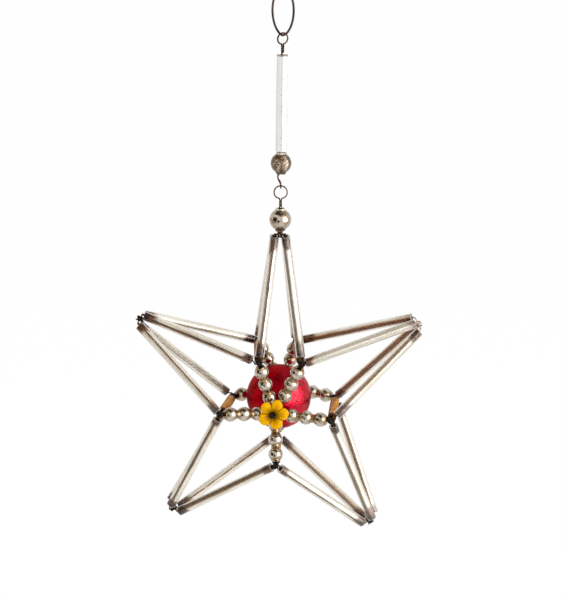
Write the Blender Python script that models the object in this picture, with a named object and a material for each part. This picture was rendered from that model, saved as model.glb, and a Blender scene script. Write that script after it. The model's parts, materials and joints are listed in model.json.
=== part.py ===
"""Hanging glass star ornament, wired together from glass tubes and blown beads.

Metres, +Z up, front towards -Y. The origin is where a hook bears, inside the top of the hanging loop.
Twenty long tubes run from five tips to five front and five back inner joints, five short tubes join each
front joint to the back one, and ten sticks of blown beads hold a ball between a front and a back hub.
"""
import math

import bmesh
import bpy
import numpy as np
from mathutils import Euler, Vector

# Long tubes of the five points
TUBE_LENGTH = 0.0353
TUBE_DIAMETER = 0.00275
TUBE_BORE = 0.0015
TUBE_TIP_GAP = 0.0004
TUBE_JOINT_GAP = 0.00255
TUBE_SIDE_CLEARANCE = 0.0004

# Short tubes between the front and the back joints
CROSS_TUBE_LENGTH = 0.017
CROSS_TUBE_DIAMETER = 0.0026
CROSS_TUBE_BORE = 0.0014
CROSS_TUBE_GAP = 0.0035

# Inner joints as they were tied by hand: degrees clockwise from the top seen from the front, distance from
# the middle, how far forward the short tube's middle sits, and how many degrees it leans right and up.
INNER_JOINTS = (
    (-25.3, 0.0142, -0.0012, 1.0, -2.0),
    (25.5, 0.0140, -0.0004, 3.7, -2.5),
    (107.8, 0.0173, -0.0016, -4.6, -1.5),
    (182.5, 0.0171, 0.0015, -1.3, -5.5),
    (258.7, 0.0160, 0.0015, -7.7, 2.6),
)
# How far the hung star leans about its top tip, foot forward and to the right, so that its weight hangs plumb
LEAN_FORWARD = 2.52
LEAN_RIGHT = 0.96
# How far the bundle of four tube ends is turned at each tip, in degrees
TIP_TURNS = (0.0, 24.0, 18.0, -10.0, 8.0)

# Binding wire
WIRE = 0.0004
KNOT_SLACK = 0.00024
KNOT_PITCH = 0.00066
TIP_KNOT_TURNS = 1.25
KNOT_STRAIGHT = 0.0016
JOINT_PULL = 0.33
TIP_STRAND_GAP = 0.0002
TIP_TAIL = 0.0009

# Sticks of three blown beads
STICK_BEADS = 3
BEAD_DIAMETER = 0.0043
BEAD_PITCH = 0.0045
BEAD_NECK = 0.0026
STICK_COLLAR = 0.00025
STICK_BORE = 0.0011
STICK_GAP = 0.0014

# Hubs where the strands of beads meet: the front one right, front and up from the star's middle, the back one
# right and up from the ball's middle, far enough behind it for the tightest strand to clear the ball
FRONT_HUB = (-0.00105, 0.0056, -0.0042)
BACK_HUB = (0.0009, -0.0010)
STRAND_GAP = 0.0014
HUB_SPREAD = 0.0010

# Ball behind the front hub, on an axis that leans this many degrees right and up
BALL_DIAMETER = 0.0195
BALL_WALL = 0.0007
BALL_HOLE = 0.0018
BALL_LEAN = (-5.9, -12.3)
BALL_GAP = 0.00064

# Pressed flower in front of the front hub
FLOWER_DIAMETER = 0.0092
FLOWER_THICKNESS = 0.0013
FLOWER_HOLE = 0.0014
FLOWER_PETALS = 5
FLOWER_TURN = 18.0
FLOWER_NOTCH = 0.34
FLOWER_RIM = 0.4
FLOWER_LIFT = 0.0052
FLOWER_EYE = 0.0007
FLOWER_DRIFT = (-0.0008, 0.0007)

# Beads and tube strung above the star
STAR_BEAD_DIAMETER = 0.0065
LINK_BEAD_DIAMETER = 0.0061
STRUNG_BEAD_BORE = 0.0018
BEAD_RIM = 0.0003
SATIN_TUBE_LENGTH = 0.0284
SATIN_TUBE_DIAMETER = 0.0034
SATIN_TUBE_BORE = 0.0018
STRUNG_GAP = 0.0003

# Rings, hook and twisted necks
RING_WIRE = 0.00046
STAR_RING_DIAMETER = 0.0043
UPPER_RING_WIDTH = 0.0042
UPPER_RING_HEIGHT = 0.0037
UPPER_RING_TURN = 40.0
RING_MOUTH = 76.0
NECK_LENGTH = 0.0022
NECK_TURNS = 1.5
NECK_STRAND_GAP = 0.00012
HOOK_LENGTH = 0.0043
HOOK_WIDTH = 0.0015
HOOK_SWAY = 0.0009
HOOK_LIMB = 0.62
HOOK_SHANK = 0.78
LINK_PLAY = 0.00015

# Hanging loop
LOOP_WIRE = 0.00065
LOOP_HEIGHT = 0.0143
LOOP_WIDTH = 0.0075
LOOP_TURN = -28.0
LOOP_POINT = 1.2

# Facets
TUBE_SIDES = 12
STICK_SIDES = 9
BALL_SIDES = 24
BEAD_SIDES = 16
TURN_POINTS = 7
BEND_STEPS = 3

FRONT = Vector((0.0, -1.0, 0.0))
RIGHT = Vector((1.0, 0.0, 0.0))
UP = Vector((0.0, 0.0, 1.0))


def clear_scene():
    """Empty the scene of every object."""
    for item in list(bpy.data.objects):
        bpy.data.objects.remove(item, do_unlink=True)


def finish(name, colour, roughness, metallic=0.0, transmission=0.0):
    """Principled material of one plain finish."""
    material = bpy.data.materials.new(name)
    material.use_nodes = True
    shader = material.node_tree.nodes["Principled BSDF"]
    shader.inputs["Base Color"].default_value = (*colour, 1.0)
    shader.inputs["Roughness"].default_value = roughness
    shader.inputs["Metallic"].default_value = metallic
    shader.inputs["Transmission Weight"].default_value = transmission
    return material


def pivot(name, place, parent=None):
    """Empty on a joint's axis that carries the pieces of one moving body."""
    empty = bpy.data.objects.new(name, None)
    bpy.context.collection.objects.link(empty)
    empty.parent = parent
    empty.location = place - (world_place(parent) if parent else Vector())
    return empty


def world_place(item):
    """World position of an object whose parents are all unturned."""
    place = Vector()
    while item:
        place = place + item.location
        item = item.parent
    return place


def turned(name, profile, sides, base, axis, material, parent):
    """Solid turned about an axis from a closed outline of (radius, height) points that stays off the axis."""
    shape = bmesh.new()
    ring = [shape.verts.new((radius, 0.0, height)) for radius, height in profile]
    edges = [shape.edges.new((a, b)) for a, b in zip(ring, ring[1:] + ring[:1])]
    bmesh.ops.spin(shape, geom=ring + edges, cent=(0, 0, 0), axis=(0, 0, 1),
                   angle=math.tau, steps=sides, use_merge=True)
    bmesh.ops.recalc_face_normals(shape, faces=shape.faces)
    mesh = bpy.data.meshes.new(name)
    shape.to_mesh(mesh)
    shape.free()
    mesh.shade_smooth()
    mesh.set_sharp_from_angle(angle=math.radians(50))
    mesh.materials.append(material)
    piece = bpy.data.objects.new(name, mesh)
    bpy.context.collection.objects.link(piece)
    piece.parent = parent
    piece.location = base - world_place(parent)
    piece.rotation_mode = "QUATERNION"
    piece.rotation_quaternion = axis.to_track_quat("Z", "Y")
    return piece


def wire(name, points, diameter, material, parent, closed=False):
    """Round wire along a line of points."""
    curve = bpy.data.curves.new(name, "CURVE")
    curve.dimensions = "3D"
    curve.bevel_depth = diameter / 2
    curve.bevel_resolution = 1
    curve.use_fill_caps = not closed
    spline = curve.splines.new("POLY")
    spline.points.add(len(points) - 1)
    home = world_place(parent)
    for knot, place in zip(spline.points, points):
        knot.co = (*(place - home), 1.0)
    spline.use_cyclic_u = closed
    curve.materials.append(material)
    piece = bpy.data.objects.new(name, curve)
    bpy.context.collection.objects.link(piece)
    piece.parent = parent
    return piece


def sweep_bend(start, start_way, end, end_way, steps, pull=0.55):
    """Points of a smooth bend that leaves start along start_way and arrives at end along end_way."""
    reach = (end - start).length * pull
    first = start + start_way * reach
    second = end - end_way * reach
    points = []
    for step in range(steps + 1):
        t = step / steps
        s = 1.0 - t
        points.append(start * s ** 3 + first * (3 * s * s * t) + second * (3 * s * t * t) + end * t ** 3)
    return points


def across(way, axis):
    """Unit part of a direction square to an axis."""
    return (way - axis * way.dot(axis)).normalized()


def in_star(right, front, up):
    """Vector from distances to the leaning star's right, front and top."""
    lean = Euler((math.radians(-LEAN_FORWARD), math.radians(-LEAN_RIGHT), 0.0)).to_matrix()
    return lean @ (RIGHT * right + FRONT * front + UP * up)


def leaning(right, up):
    """Direction to the star's front that leans by so many degrees to the right and up."""
    return in_star(math.tan(math.radians(right)), 1.0, math.tan(math.radians(up))).normalized()


def meeting_point(knots, reach, outward):
    """Tip that lies one tube's reach from each of four knots, by Newton steps on the four distances."""
    corners = np.array([tuple(knot) for knot in knots])
    tip = corners.mean(axis=0) + np.array(outward) * reach
    for _ in range(12):
        ways = tip - corners
        lengths = np.linalg.norm(ways, axis=1)
        step = np.linalg.lstsq(ways / lengths[:, None], lengths - reach, rcond=None)[0]
        tip = tip - step
    return Vector(tip)


def inner_joints():
    """Front and back knots of the five inner joints about the star's middle."""
    half = CROSS_TUBE_LENGTH / 2 + CROSS_TUBE_GAP
    fronts = []
    backs = []
    for angle, radius, forward, lean_right, lean_up in INNER_JOINTS:
        turn = math.radians(angle)
        middle = in_star(radius * math.sin(turn), forward, radius * math.cos(turn))
        way = leaning(lean_right, lean_up)
        fronts.append(middle + way * half)
        backs.append(middle - way * half)
    return fronts, backs


class Star:
    """Places of the star's joints and tubes, hung by its top tip."""

    def __init__(self, top):
        self.count = len(INNER_JOINTS)
        fronts, backs = inner_joints()
        reach = TUBE_LENGTH + TUBE_TIP_GAP + TUBE_JOINT_GAP
        tips = []
        for tip in range(self.count):
            after = (tip + 1) % self.count
            knots = [fronts[tip], backs[tip], fronts[after], backs[after]]
            outward = across(sum(knots, Vector()), in_star(0.0, 1.0, 0.0))
            tips.append(meeting_point(knots, reach, outward))
        self.middle = top - tips[0]
        self.tips = [point + self.middle for point in tips]
        self.knots = {"front": [point + self.middle for point in fronts],
                      "back": [point + self.middle for point in backs]}
        self.hubs = {"front": self.middle + in_star(*FRONT_HUB)}
        self.ball_axis = leaning(*BALL_LEAN)
        self.ball = self.hubs["front"] - self.ball_axis * (BALL_DIAMETER / 2 + BALL_GAP)
        self.set_back_hub()

    def set_back_hub(self):
        """Set the back hub behind the ball, halving a span of reaches until the closest strand just clears."""
        right, up = BACK_HUB
        needed = (BALL_DIAMETER + BEAD_DIAMETER) / 2 + STRAND_GAP
        near = BALL_DIAMETER / 2
        far = BALL_DIAMETER * 2
        while far - near > WIRE / 1000:
            reach = (near + far) / 2
            self.hubs["back"] = self.ball + in_star(right, -reach, up)
            strands = [self.strand("back", joint) for joint in range(self.count)]
            if min((self.ball - knot).cross(way).length for knot, _, way in strands) < needed:
                near = reach
            else:
                far = reach

    def tip_frame(self, tip):
        """Outward, sideways and front directions at a tip, the last two turned with its bundle of tubes."""
        facing = in_star(0.0, 1.0, 0.0)
        outward = across(self.tips[tip] - self.middle, facing)
        side = outward.cross(facing)
        turn = math.radians(TIP_TURNS[tip])
        front = facing * math.cos(turn) + side * math.sin(turn)
        return outward, side * math.cos(turn) - facing * math.sin(turn), front

    def tube(self, face, tip, hand):
        """Inner end, tip end and direction of a long tube; hand 0 or 1: the joint before or after the tip."""
        outward, side, front = self.tip_frame(tip)
        half = (TUBE_DIAMETER + TUBE_SIDE_CLEARANCE) / 2
        anchor = self.tips[tip] + side * half * (1 if hand else -1) + front * half * FACE_SIGN[face]
        knot = self.knots[face][(tip + hand) % self.count]
        way = (anchor - knot).normalized()
        end = anchor - way * TUBE_TIP_GAP
        return end - way * TUBE_LENGTH, end, way

    def joint_tubes(self, face, joint):
        """The two long tubes that meet at an inner joint, in the order in which the frame wire runs."""
        before = (joint - 1) % self.count
        return self.tube(face, before, 1), self.tube(face, joint, 0)

    def joint_run(self, face, joint):
        """Direction in which the frame wire runs through an inner joint."""
        arriving, leaving = self.joint_tubes(face, joint)
        return (leaving[2] - arriving[2]).normalized()

    def strand(self, face, joint):
        """Outer end, inner end and direction of the strand of beads from a joint to its hub."""
        knot = self.knots[face][joint]
        turn = math.tau * (joint - 0.5) / self.count
        aim = self.hubs[face] + in_star(math.sin(turn), 0.0, math.cos(turn)) * HUB_SPREAD
        return knot, aim, (aim - knot).normalized()


FACE_SIGN = {"front": 1, "back": -1}
TIP_NAMES = ("top", "right", "low_right", "low_left", "left")


def bored_tube(name, length, diameter, bore, base, axis, material, parent):
    """Plain glass tube, open at both ends."""
    outer = diameter / 2
    inner = bore / 2
    profile = [(outer, length), (outer, 0.0), (inner, 0.0), (inner, length)]
    return turned(name, profile, TUBE_SIDES, base, axis, material, parent)


def round_side(middle, radius, neck, steps):
    """Outline of a ball's side, from one neck radius to the other, as (radius, height) points."""
    limit = math.acos(neck / radius)
    angles = [limit - 2 * limit * step / steps for step in range(steps + 1)]
    return [(radius * math.cos(angle), middle + radius * math.sin(angle)) for angle in angles]


def stick_length():
    """Length of a stick of blown beads over its end collars."""
    return (STICK_BEADS - 1) * BEAD_PITCH + 2 * stick_end()


def stick_end():
    """Distance from an end bead's middle to the stick's end."""
    return math.sqrt(BEAD_DIAMETER ** 2 - BEAD_NECK ** 2) / 2 + STICK_COLLAR


def bead_stick(name, base, axis, material, parent):
    """Beads blown in one piece, joined by necks, with a bore for the wire."""
    profile = [(BEAD_NECK / 2, stick_length())]
    for bead in reversed(range(STICK_BEADS)):
        profile += round_side(stick_end() + bead * BEAD_PITCH, BEAD_DIAMETER / 2, BEAD_NECK / 2, 4)
    profile += [(BEAD_NECK / 2, 0.0), (STICK_BORE / 2, 0.0), (STICK_BORE / 2, stick_length())]
    return turned(name, profile, STICK_SIDES, base, axis, material, parent)


def strung_bead_half(diameter):
    """Half the height of a bored bead over its rims."""
    rim = STRUNG_BEAD_BORE / 2 + BEAD_RIM
    return math.sqrt(diameter ** 2 / 4 - rim ** 2) + BEAD_RIM


def strung_bead(name, diameter, middle, material, parent):
    """Blown bead with a raised rim round each end of its bore."""
    rim = STRUNG_BEAD_BORE / 2 + BEAD_RIM
    half = strung_bead_half(diameter)
    profile = [(rim, half)] + round_side(0.0, diameter / 2, rim, 8)
    profile += [(rim, -half), (STRUNG_BEAD_BORE / 2, -half), (STRUNG_BEAD_BORE / 2, half)]
    return turned(name, profile, BEAD_SIDES, middle, UP, material, parent)


def ball(star, material, parent):
    """Thin blown ball, open at the two holes that the hub wire runs through."""
    outer = round_side(0.0, BALL_DIAMETER / 2, BALL_HOLE / 2, BALL_SIDES // 2)
    inner = round_side(0.0, BALL_DIAMETER / 2 - BALL_WALL, BALL_HOLE / 2, BALL_SIDES // 3)
    return turned("ball", outer + inner[::-1], BALL_SIDES, star.ball, star.ball_axis, material, parent)


def ball_hole(star, face):
    """Point where the hub wire leaves the ball, half a hole outside its skin."""
    return star.ball + star.ball_axis * (BALL_DIAMETER / 2 + BALL_HOLE / 4) * FACE_SIGN[face]


def flower_place(star):
    """Middle of the flower's back face."""
    drift_right, drift_up = FLOWER_DRIFT
    return star.hubs["front"] + in_star(drift_right, FLOWER_LIFT, drift_up)


def flower(star, material, parent):
    """Pressed flower: a polar grid whose rim follows the petals and whose face swells along each petal."""
    steps = FLOWER_PETALS * 6
    hole = FLOWER_HOLE / 2
    shares = (0.0, 0.25, 0.65, 1.0)
    shape = bmesh.new()
    rows = []
    for step in range(steps):
        turn = math.tau * step / steps
        lobe = abs(math.cos(FLOWER_PETALS * turn / 2))
        rim = FLOWER_DIAMETER / 2 * (1.0 - FLOWER_NOTCH * (1.0 - math.sqrt(lobe)))
        bearing = turn + math.radians(FLOWER_TURN)
        way = in_star(math.sin(bearing), 0.0, math.cos(bearing))
        face = []
        for share in shares:
            swell = math.sin(math.pi * (1 + 8 * share) / 10) * (1 + lobe) / 2
            height = FLOWER_THICKNESS * (FLOWER_RIM + (1.0 - FLOWER_RIM) * swell)
            face.append(shape.verts.new(way * (hole + (rim - hole) * share) + in_star(0.0, height, 0.0)))
        back = [shape.verts.new(way * rim), shape.verts.new(way * hole)]
        rows.append(face + back)
    for one, two in zip(rows, rows[1:] + rows[:1]):
        for index in range(len(one)):
            after = (index + 1) % len(one)
            shape.faces.new((one[index], one[after], two[after], two[index]))
    bmesh.ops.recalc_face_normals(shape, faces=shape.faces)
    mesh = bpy.data.meshes.new("flower")
    shape.to_mesh(mesh)
    shape.free()
    mesh.shade_smooth()
    mesh.set_sharp_from_angle(angle=math.radians(50))
    mesh.materials.append(material)
    piece = bpy.data.objects.new("flower", mesh)
    bpy.context.collection.objects.link(piece)
    piece.parent = parent
    piece.location = flower_place(star) - world_place(parent)
    return piece


def tip_crossing(star, tip, face):
    """Two points where a frame wire runs straight over the middle of a tip, and its direction there."""
    outward, side, front = star.tip_frame(tip)
    rise = knot_ring() + WIRE / 2 - TUBE_TIP_GAP
    middle = star.tips[tip] + outward * rise + front * FACE_SIGN[face] * (WIRE + TIP_STRAND_GAP) / 2
    return middle - side * KNOT_STRAIGHT / 2, middle + side * KNOT_STRAIGHT / 2, side


def knot_ring():
    """Distance from a wire's middle to that of the wire wound round it."""
    return WIRE + KNOT_SLACK


def frame_wire(star, face):
    """Closed run of wire through the ten tubes of one face, bent over at the tips and at the inner joints."""
    points = []
    for tip in range(star.count):
        _, tip_end, way = star.tube(face, tip, 0)
        next_inner, next_tip, next_way = star.tube(face, tip, 1)
        first, last, side = tip_crossing(star, tip, face)
        points += sweep_bend(tip_end, way, first, side, BEND_STEPS)
        points += sweep_bend(last, side, next_tip, -next_way, BEND_STEPS)
        joint = (tip + 1) % star.count
        knot = star.knots[face][joint]
        run = star.joint_run(face, joint)
        leaving_end, _, leaving_way = star.tube(face, joint, 0)
        half = run * KNOT_STRAIGHT / 2
        points += sweep_bend(next_inner, -next_way, knot - half, run, BEND_STEPS, JOINT_PULL)
        points += sweep_bend(knot + half, run, leaving_end, leaving_way, BEND_STEPS, JOINT_PULL)
    return points


def joint_winding(star, face, joint, come, leave):
    """Turns of a rib wire round the frame wire at a joint, coming along one way and leaving along another."""
    knot = star.knots[face][joint]
    run = star.joint_run(face, joint)
    start_way = across(come, run)
    leave_way = across(leave, run)
    turn_way = run.cross(start_way)
    if leave_way.dot(turn_way) < 0.0:
        turn_way = -turn_way
    sweep = math.tau + start_way.angle(leave_way)
    advance = run * math.copysign(KNOT_PITCH * sweep / math.tau, (come + leave).dot(run))
    steps = round(TURN_POINTS * sweep / math.tau)
    points = []
    for step in range(steps + 1):
        share = step / steps
        angle = sweep * share - math.pi / 2
        radial = start_way * math.cos(angle) + turn_way * math.sin(angle)
        points.append(knot + radial * knot_ring() + advance * (share - 0.5))
    return points, start_way, leave_way


def rib_wire(star, joint):
    """Wire from the front hub through beads, joint, short tube, joint and beads to the back hub."""
    front_knot, front_aim, front_way = star.strand("front", joint)
    back_knot, back_aim, back_way = star.strand("back", joint)
    cross_way = (back_knot - front_knot).normalized()
    turns, come, leave = joint_winding(star, "front", joint, -front_way, cross_way)
    stick_mouth = front_knot + front_way * (STICK_GAP + STICK_COLLAR)
    points = [front_aim] + sweep_bend(stick_mouth, -front_way, turns[0], come, 3)
    points += turns[1:]
    tube_mouth = front_knot + cross_way * CROSS_TUBE_GAP
    points += sweep_bend(turns[-1], leave, tube_mouth, cross_way, 3)[1:]
    turns, come, leave = joint_winding(star, "back", joint, cross_way, back_way)
    far_mouth = back_knot - cross_way * CROSS_TUBE_GAP
    points += sweep_bend(far_mouth, cross_way, turns[0], come, 3)
    points += turns[1:]
    stick_mouth = back_knot + back_way * (STICK_GAP + STICK_COLLAR)
    points += sweep_bend(turns[-1], leave, stick_mouth, back_way, 3)[1:]
    points.append(back_aim)
    return points


def tip_winding(star, tip):
    """Turns of a binding wire round the two frame wires at a tip, ending outwards at the front."""
    outward, side, front = star.tip_frame(tip)
    _, one_end, _ = tip_crossing(star, tip, "front")
    other_end, _, _ = tip_crossing(star, tip, "back")
    middle = (other_end + one_end) / 2
    reach = (WIRE + TIP_STRAND_GAP) / 2 + knot_ring()
    steps = round(TURN_POINTS * TIP_KNOT_TURNS)
    points = []
    for step in range(steps + 1):
        share = step / steps
        angle = math.tau * TIP_KNOT_TURNS * (share - 1.0)
        radial = front * reach * math.cos(angle) + outward * knot_ring() * math.sin(angle)
        points.append(middle + radial + side * KNOT_PITCH * TIP_KNOT_TURNS * (share - 0.5))
    return points


def tip_binding(star, tip):
    """Binding of one tip with its cut tail."""
    outward, _, front = star.tip_frame(tip)
    points = tip_winding(star, tip)
    tail = (outward + front / 2).normalized()
    return points + sweep_bend(points[-1], outward, points[-1] + tail * TIP_TAIL, tail, 2)[1:]


def neck_strand(foot, along, phase, rising):
    """One strand of a twisted neck that stands on foot; at the top it lies to the side that phase gives."""
    across_way = UP.cross(along)
    radius = (RING_WIRE + NECK_STRAND_GAP) / 2
    steps = round(TURN_POINTS * NECK_TURNS)
    points = []
    for step in range(steps + 1):
        share = step / steps
        angle = phase - math.tau * NECK_TURNS * (1.0 - share)
        radial = along * math.cos(angle) + across_way * math.sin(angle)
        points.append(foot + radial * radius + UP * NECK_LENGTH * share)
    return points if rising else points[::-1]


def eye(foot, along, width, height):
    """Twisted neck and ring in one wire: up one strand, round the ring, down the other strand."""
    half_width = (width - RING_WIRE) / 2
    half_height = (height - RING_WIRE) / 2
    middle = foot + UP * (NECK_LENGTH + half_height + RING_WIRE / 2)
    start = math.radians(RING_MOUTH / 2 - 90.0)
    steps = 16
    ring = []
    for step in range(steps + 1):
        angle = start + (math.pi - 2 * start) * step / steps
        ring.append(middle + along * half_width * math.cos(angle) + UP * half_height * math.sin(angle))
    rising = neck_strand(foot, along, 0.0, True)
    falling = neck_strand(foot, along, math.pi, False)
    points = rising + sweep_bend(rising[-1], UP, ring[0], (ring[1] - ring[0]).normalized(), 3)[1:]
    points += ring[1:]
    points += sweep_bend(ring[-1], (ring[-1] - ring[-2]).normalized(), falling[0], -UP, 3)[1:]
    return points + falling[1:]


def eye_rise(height):
    """Height from a neck's foot to the middle of the wire at its ring's top."""
    return NECK_LENGTH + height - RING_WIRE / 2


def loop_points(bottom):
    """Pointed oval of the hanging loop: a circle drawn out upwards, its sides drawn in towards both ends."""
    along = Vector((math.cos(math.radians(LOOP_TURN)), math.sin(math.radians(LOOP_TURN)), 0.0))
    steps = 32
    points = []
    for step in range(steps):
        angle = math.tau * step / steps
        spread = math.copysign(abs(math.sin(angle)) ** LOOP_POINT, math.sin(angle))
        points.append(bottom + along * (LOOP_WIDTH - LOOP_WIRE) / 2 * spread
                      + UP * LOOP_HEIGHT * (1.0 - math.cos(angle)) / 2)
    return points


def hook_points(hook, bead_foot):
    """Hook at the link's foot: down the short limb, round under the star's ring, up the shank to the bead."""
    half = HOOK_WIDTH / 2
    bottom = hook + UP * half
    limb_top = hook + UP * HOOK_LENGTH * HOOK_LIMB + FRONT * half - RIGHT * HOOK_SWAY / 2
    points = sweep_bend(limb_top, -UP, bottom + FRONT * half, -UP, BEND_STEPS)
    steps = 8
    for step in range(1, steps + 1):
        angle = math.pi * step / steps
        points.append(bottom + FRONT * half * math.cos(angle) - UP * half * math.sin(angle))
    sway = hook + UP * HOOK_LENGTH * HOOK_SHANK - FRONT * half / 2 - RIGHT * HOOK_SWAY
    points += sweep_bend(points[-1], UP, sway, UP, BEND_STEPS + 1)[1:]
    points += sweep_bend(sway, UP, bead_foot, UP, BEND_STEPS + 1)[1:]
    return points


def hub_wire(star):
    """Wire from behind the back hub through the ball and the flower, bent over in the flower's eye."""
    facing = in_star(0.0, 1.0, 0.0)
    seat = flower_place(star)
    step = in_star((WIRE + KNOT_SLACK) / 2, 0.0, 0.0)
    crown = seat + facing * (FLOWER_THICKNESS + FLOWER_EYE)
    back_way = (star.hubs["back"] - ball_hole(star, "back")).normalized()
    points = [star.hubs["back"] + back_way * 2 * WIRE]
    points += sweep_bend(star.hubs["back"], -back_way, ball_hole(star, "back"), facing, 3)
    points += sweep_bend(ball_hole(star, "front"), facing, star.hubs["front"], facing, 3)
    points += sweep_bend(star.hubs["front"], facing, seat - step, facing, 4)[1:]
    bend = step.length
    for index in range(7):
        angle = math.pi * index / 6
        points.append(crown - step * math.cos(angle) + facing * bend * (math.sin(angle) - 1.0))
    points.append(seat + step)
    return points


def build():
    """Make every piece, from the hanging loop down to the star."""
    clear_scene()
    silver_glass = finish("silvered clear glass", (0.72, 0.69, 0.65), 0.12, 0.6)
    amber_glass = finish("amber glass", (0.45, 0.22, 0.04), 0.15, 0.2)
    mirror_glass = finish("mirror silvered beads", (0.78, 0.73, 0.64), 0.08, 0.9)
    red_glass = finish("red lacquered glass", (0.42, 0.01, 0.03), 0.3, 0.3)
    yellow_glass = finish("yellow pressed glass", (0.85, 0.5, 0.01), 0.3)
    satin_glass = finish("satin white glass", (0.82, 0.81, 0.79), 0.35)
    dark_wire = finish("tarnished wire", (0.06, 0.04, 0.03), 0.45, 0.8)
    loop_wire = finish("dark loop wire", (0.04, 0.03, 0.025), 0.5, 0.7)

    # Heights from the hook's bearing point at the origin downwards
    loop_bottom = UP * (LOOP_WIRE / 2 - LOOP_HEIGHT)
    upper_ring_top = loop_bottom + UP * ((LOOP_WIRE + RING_WIRE) / 2 + LINK_PLAY)
    link_neck_foot = upper_ring_top - UP * eye_rise(UPPER_RING_HEIGHT)
    satin_top = link_neck_foot - UP * (RING_WIRE / 2 + STRUNG_GAP)
    satin_foot = satin_top - UP * SATIN_TUBE_LENGTH
    link_bead_half = strung_bead_half(LINK_BEAD_DIAMETER)
    link_bead_middle = satin_foot - UP * (STRUNG_GAP + link_bead_half)
    hook = link_bead_middle - UP * (link_bead_half + HOOK_LENGTH)
    star_ring_top = hook + UP * (RING_WIRE + LINK_PLAY)
    star_neck_foot = star_ring_top - UP * eye_rise(STAR_RING_DIAMETER)
    star_bead_half = strung_bead_half(STAR_BEAD_DIAMETER)
    star_bead_middle = star_neck_foot - UP * (RING_WIRE / 2 + STRUNG_GAP + star_bead_half)
    top_knot_rise = 2 * knot_ring() + WIRE - TUBE_TIP_GAP + STRUNG_GAP
    star = Star(star_bead_middle - UP * (star_bead_half + top_knot_rise))

    frame = pivot("hanger", Vector())
    link = pivot("link_swing", loop_bottom, frame)
    swinging = pivot("star_swing", hook, link)
    satin_spin = pivot("satin_tube_spin", satin_foot, link)
    link_bead_spin = pivot("link_bead_spin", link_bead_middle, link)
    star_bead_spin = pivot("star_bead_spin", star_bead_middle, swinging)

    wire("hanging_loop", loop_points(loop_bottom), LOOP_WIRE, loop_wire, frame, closed=True)

    turn = math.radians(UPPER_RING_TURN)
    upper_eye = eye(link_neck_foot, Vector((math.cos(turn), math.sin(turn), 0.0)),
                    UPPER_RING_WIDTH, UPPER_RING_HEIGHT)
    bead_foot = link_bead_middle - UP * link_bead_half - RIGHT * HOOK_SWAY / 2
    link_run = hook_points(hook, bead_foot)
    link_run += sweep_bend(bead_foot, UP, satin_foot, UP, BEND_STEPS)[1:]
    link_run += sweep_bend(satin_top - UP * SATIN_TUBE_BORE, UP, upper_eye[0], UP, BEND_STEPS)[:-1]
    wire("link_wire", link_run + upper_eye, RING_WIRE, dark_wire, link)
    bored_tube("satin_tube", SATIN_TUBE_LENGTH, SATIN_TUBE_DIAMETER, SATIN_TUBE_BORE,
               satin_foot, UP, satin_glass, satin_spin)
    strung_bead("link_bead", LINK_BEAD_DIAMETER, link_bead_middle, mirror_glass, link_bead_spin)
    strung_bead("star_bead", STAR_BEAD_DIAMETER, star_bead_middle, mirror_glass, star_bead_spin)

    star_eye = eye(star_neck_foot, RIGHT, STAR_RING_DIAMETER, STAR_RING_DIAMETER)
    top_turns = tip_winding(star, 0)
    within = UP * (star_bead_half - STRUNG_BEAD_BORE / 2)
    top_run = top_turns + sweep_bend(top_turns[-1], UP, star_bead_middle - within, UP, BEND_STEPS)[1:]
    top_run += sweep_bend(star_bead_middle + within, UP, star_eye[0], UP, BEND_STEPS)[:-1]
    wire("star_hanger_wire", top_run + star_eye, WIRE, dark_wire, swinging)
    for tip in range(1, star.count):
        wire(f"tip_binding_{TIP_NAMES[tip]}", tip_binding(star, tip), WIRE, dark_wire, swinging)

    for face in FACE_SIGN:
        wire(f"{face}_frame_wire", frame_wire(star, face), WIRE, dark_wire, swinging, closed=True)
        for tip in range(star.count):
            for hand, letter in enumerate("ab"):
                inner_end, _, way = star.tube(face, tip, hand)
                bored_tube(f"tube_{TIP_NAMES[tip]}_{face}_{letter}", TUBE_LENGTH, TUBE_DIAMETER, TUBE_BORE,
                           inner_end, way, silver_glass, swinging)
        for joint in range(star.count):
            knot, _, way = star.strand(face, joint)
            bead_stick(f"bead_stick_{face}_{joint + 1}", knot + way * STICK_GAP, way, mirror_glass, swinging)

    for joint in range(star.count):
        wire(f"rib_wire_{joint + 1}", rib_wire(star, joint), WIRE, dark_wire, swinging)
        start = star.knots["front"][joint]
        way = (star.knots["back"][joint] - start).normalized()
        bored_tube(f"cross_tube_{joint + 1}", CROSS_TUBE_LENGTH, CROSS_TUBE_DIAMETER, CROSS_TUBE_BORE,
                   start + way * CROSS_TUBE_GAP, way, amber_glass, swinging)

    ball(star, red_glass, swinging)
    flower(star, yellow_glass, swinging)
    wire("hub_wire", hub_wire(star), WIRE, dark_wire, swinging)


build()
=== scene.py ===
"""Looks of a hanging glass star ornament: silvered tubes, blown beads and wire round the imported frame.

Metres, +Z up, front towards -Y, in the frame's own coordinates. Places and directions are measured on the
frame's nodes, so that every piece stays where its node is.
"""
import json
import math

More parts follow.
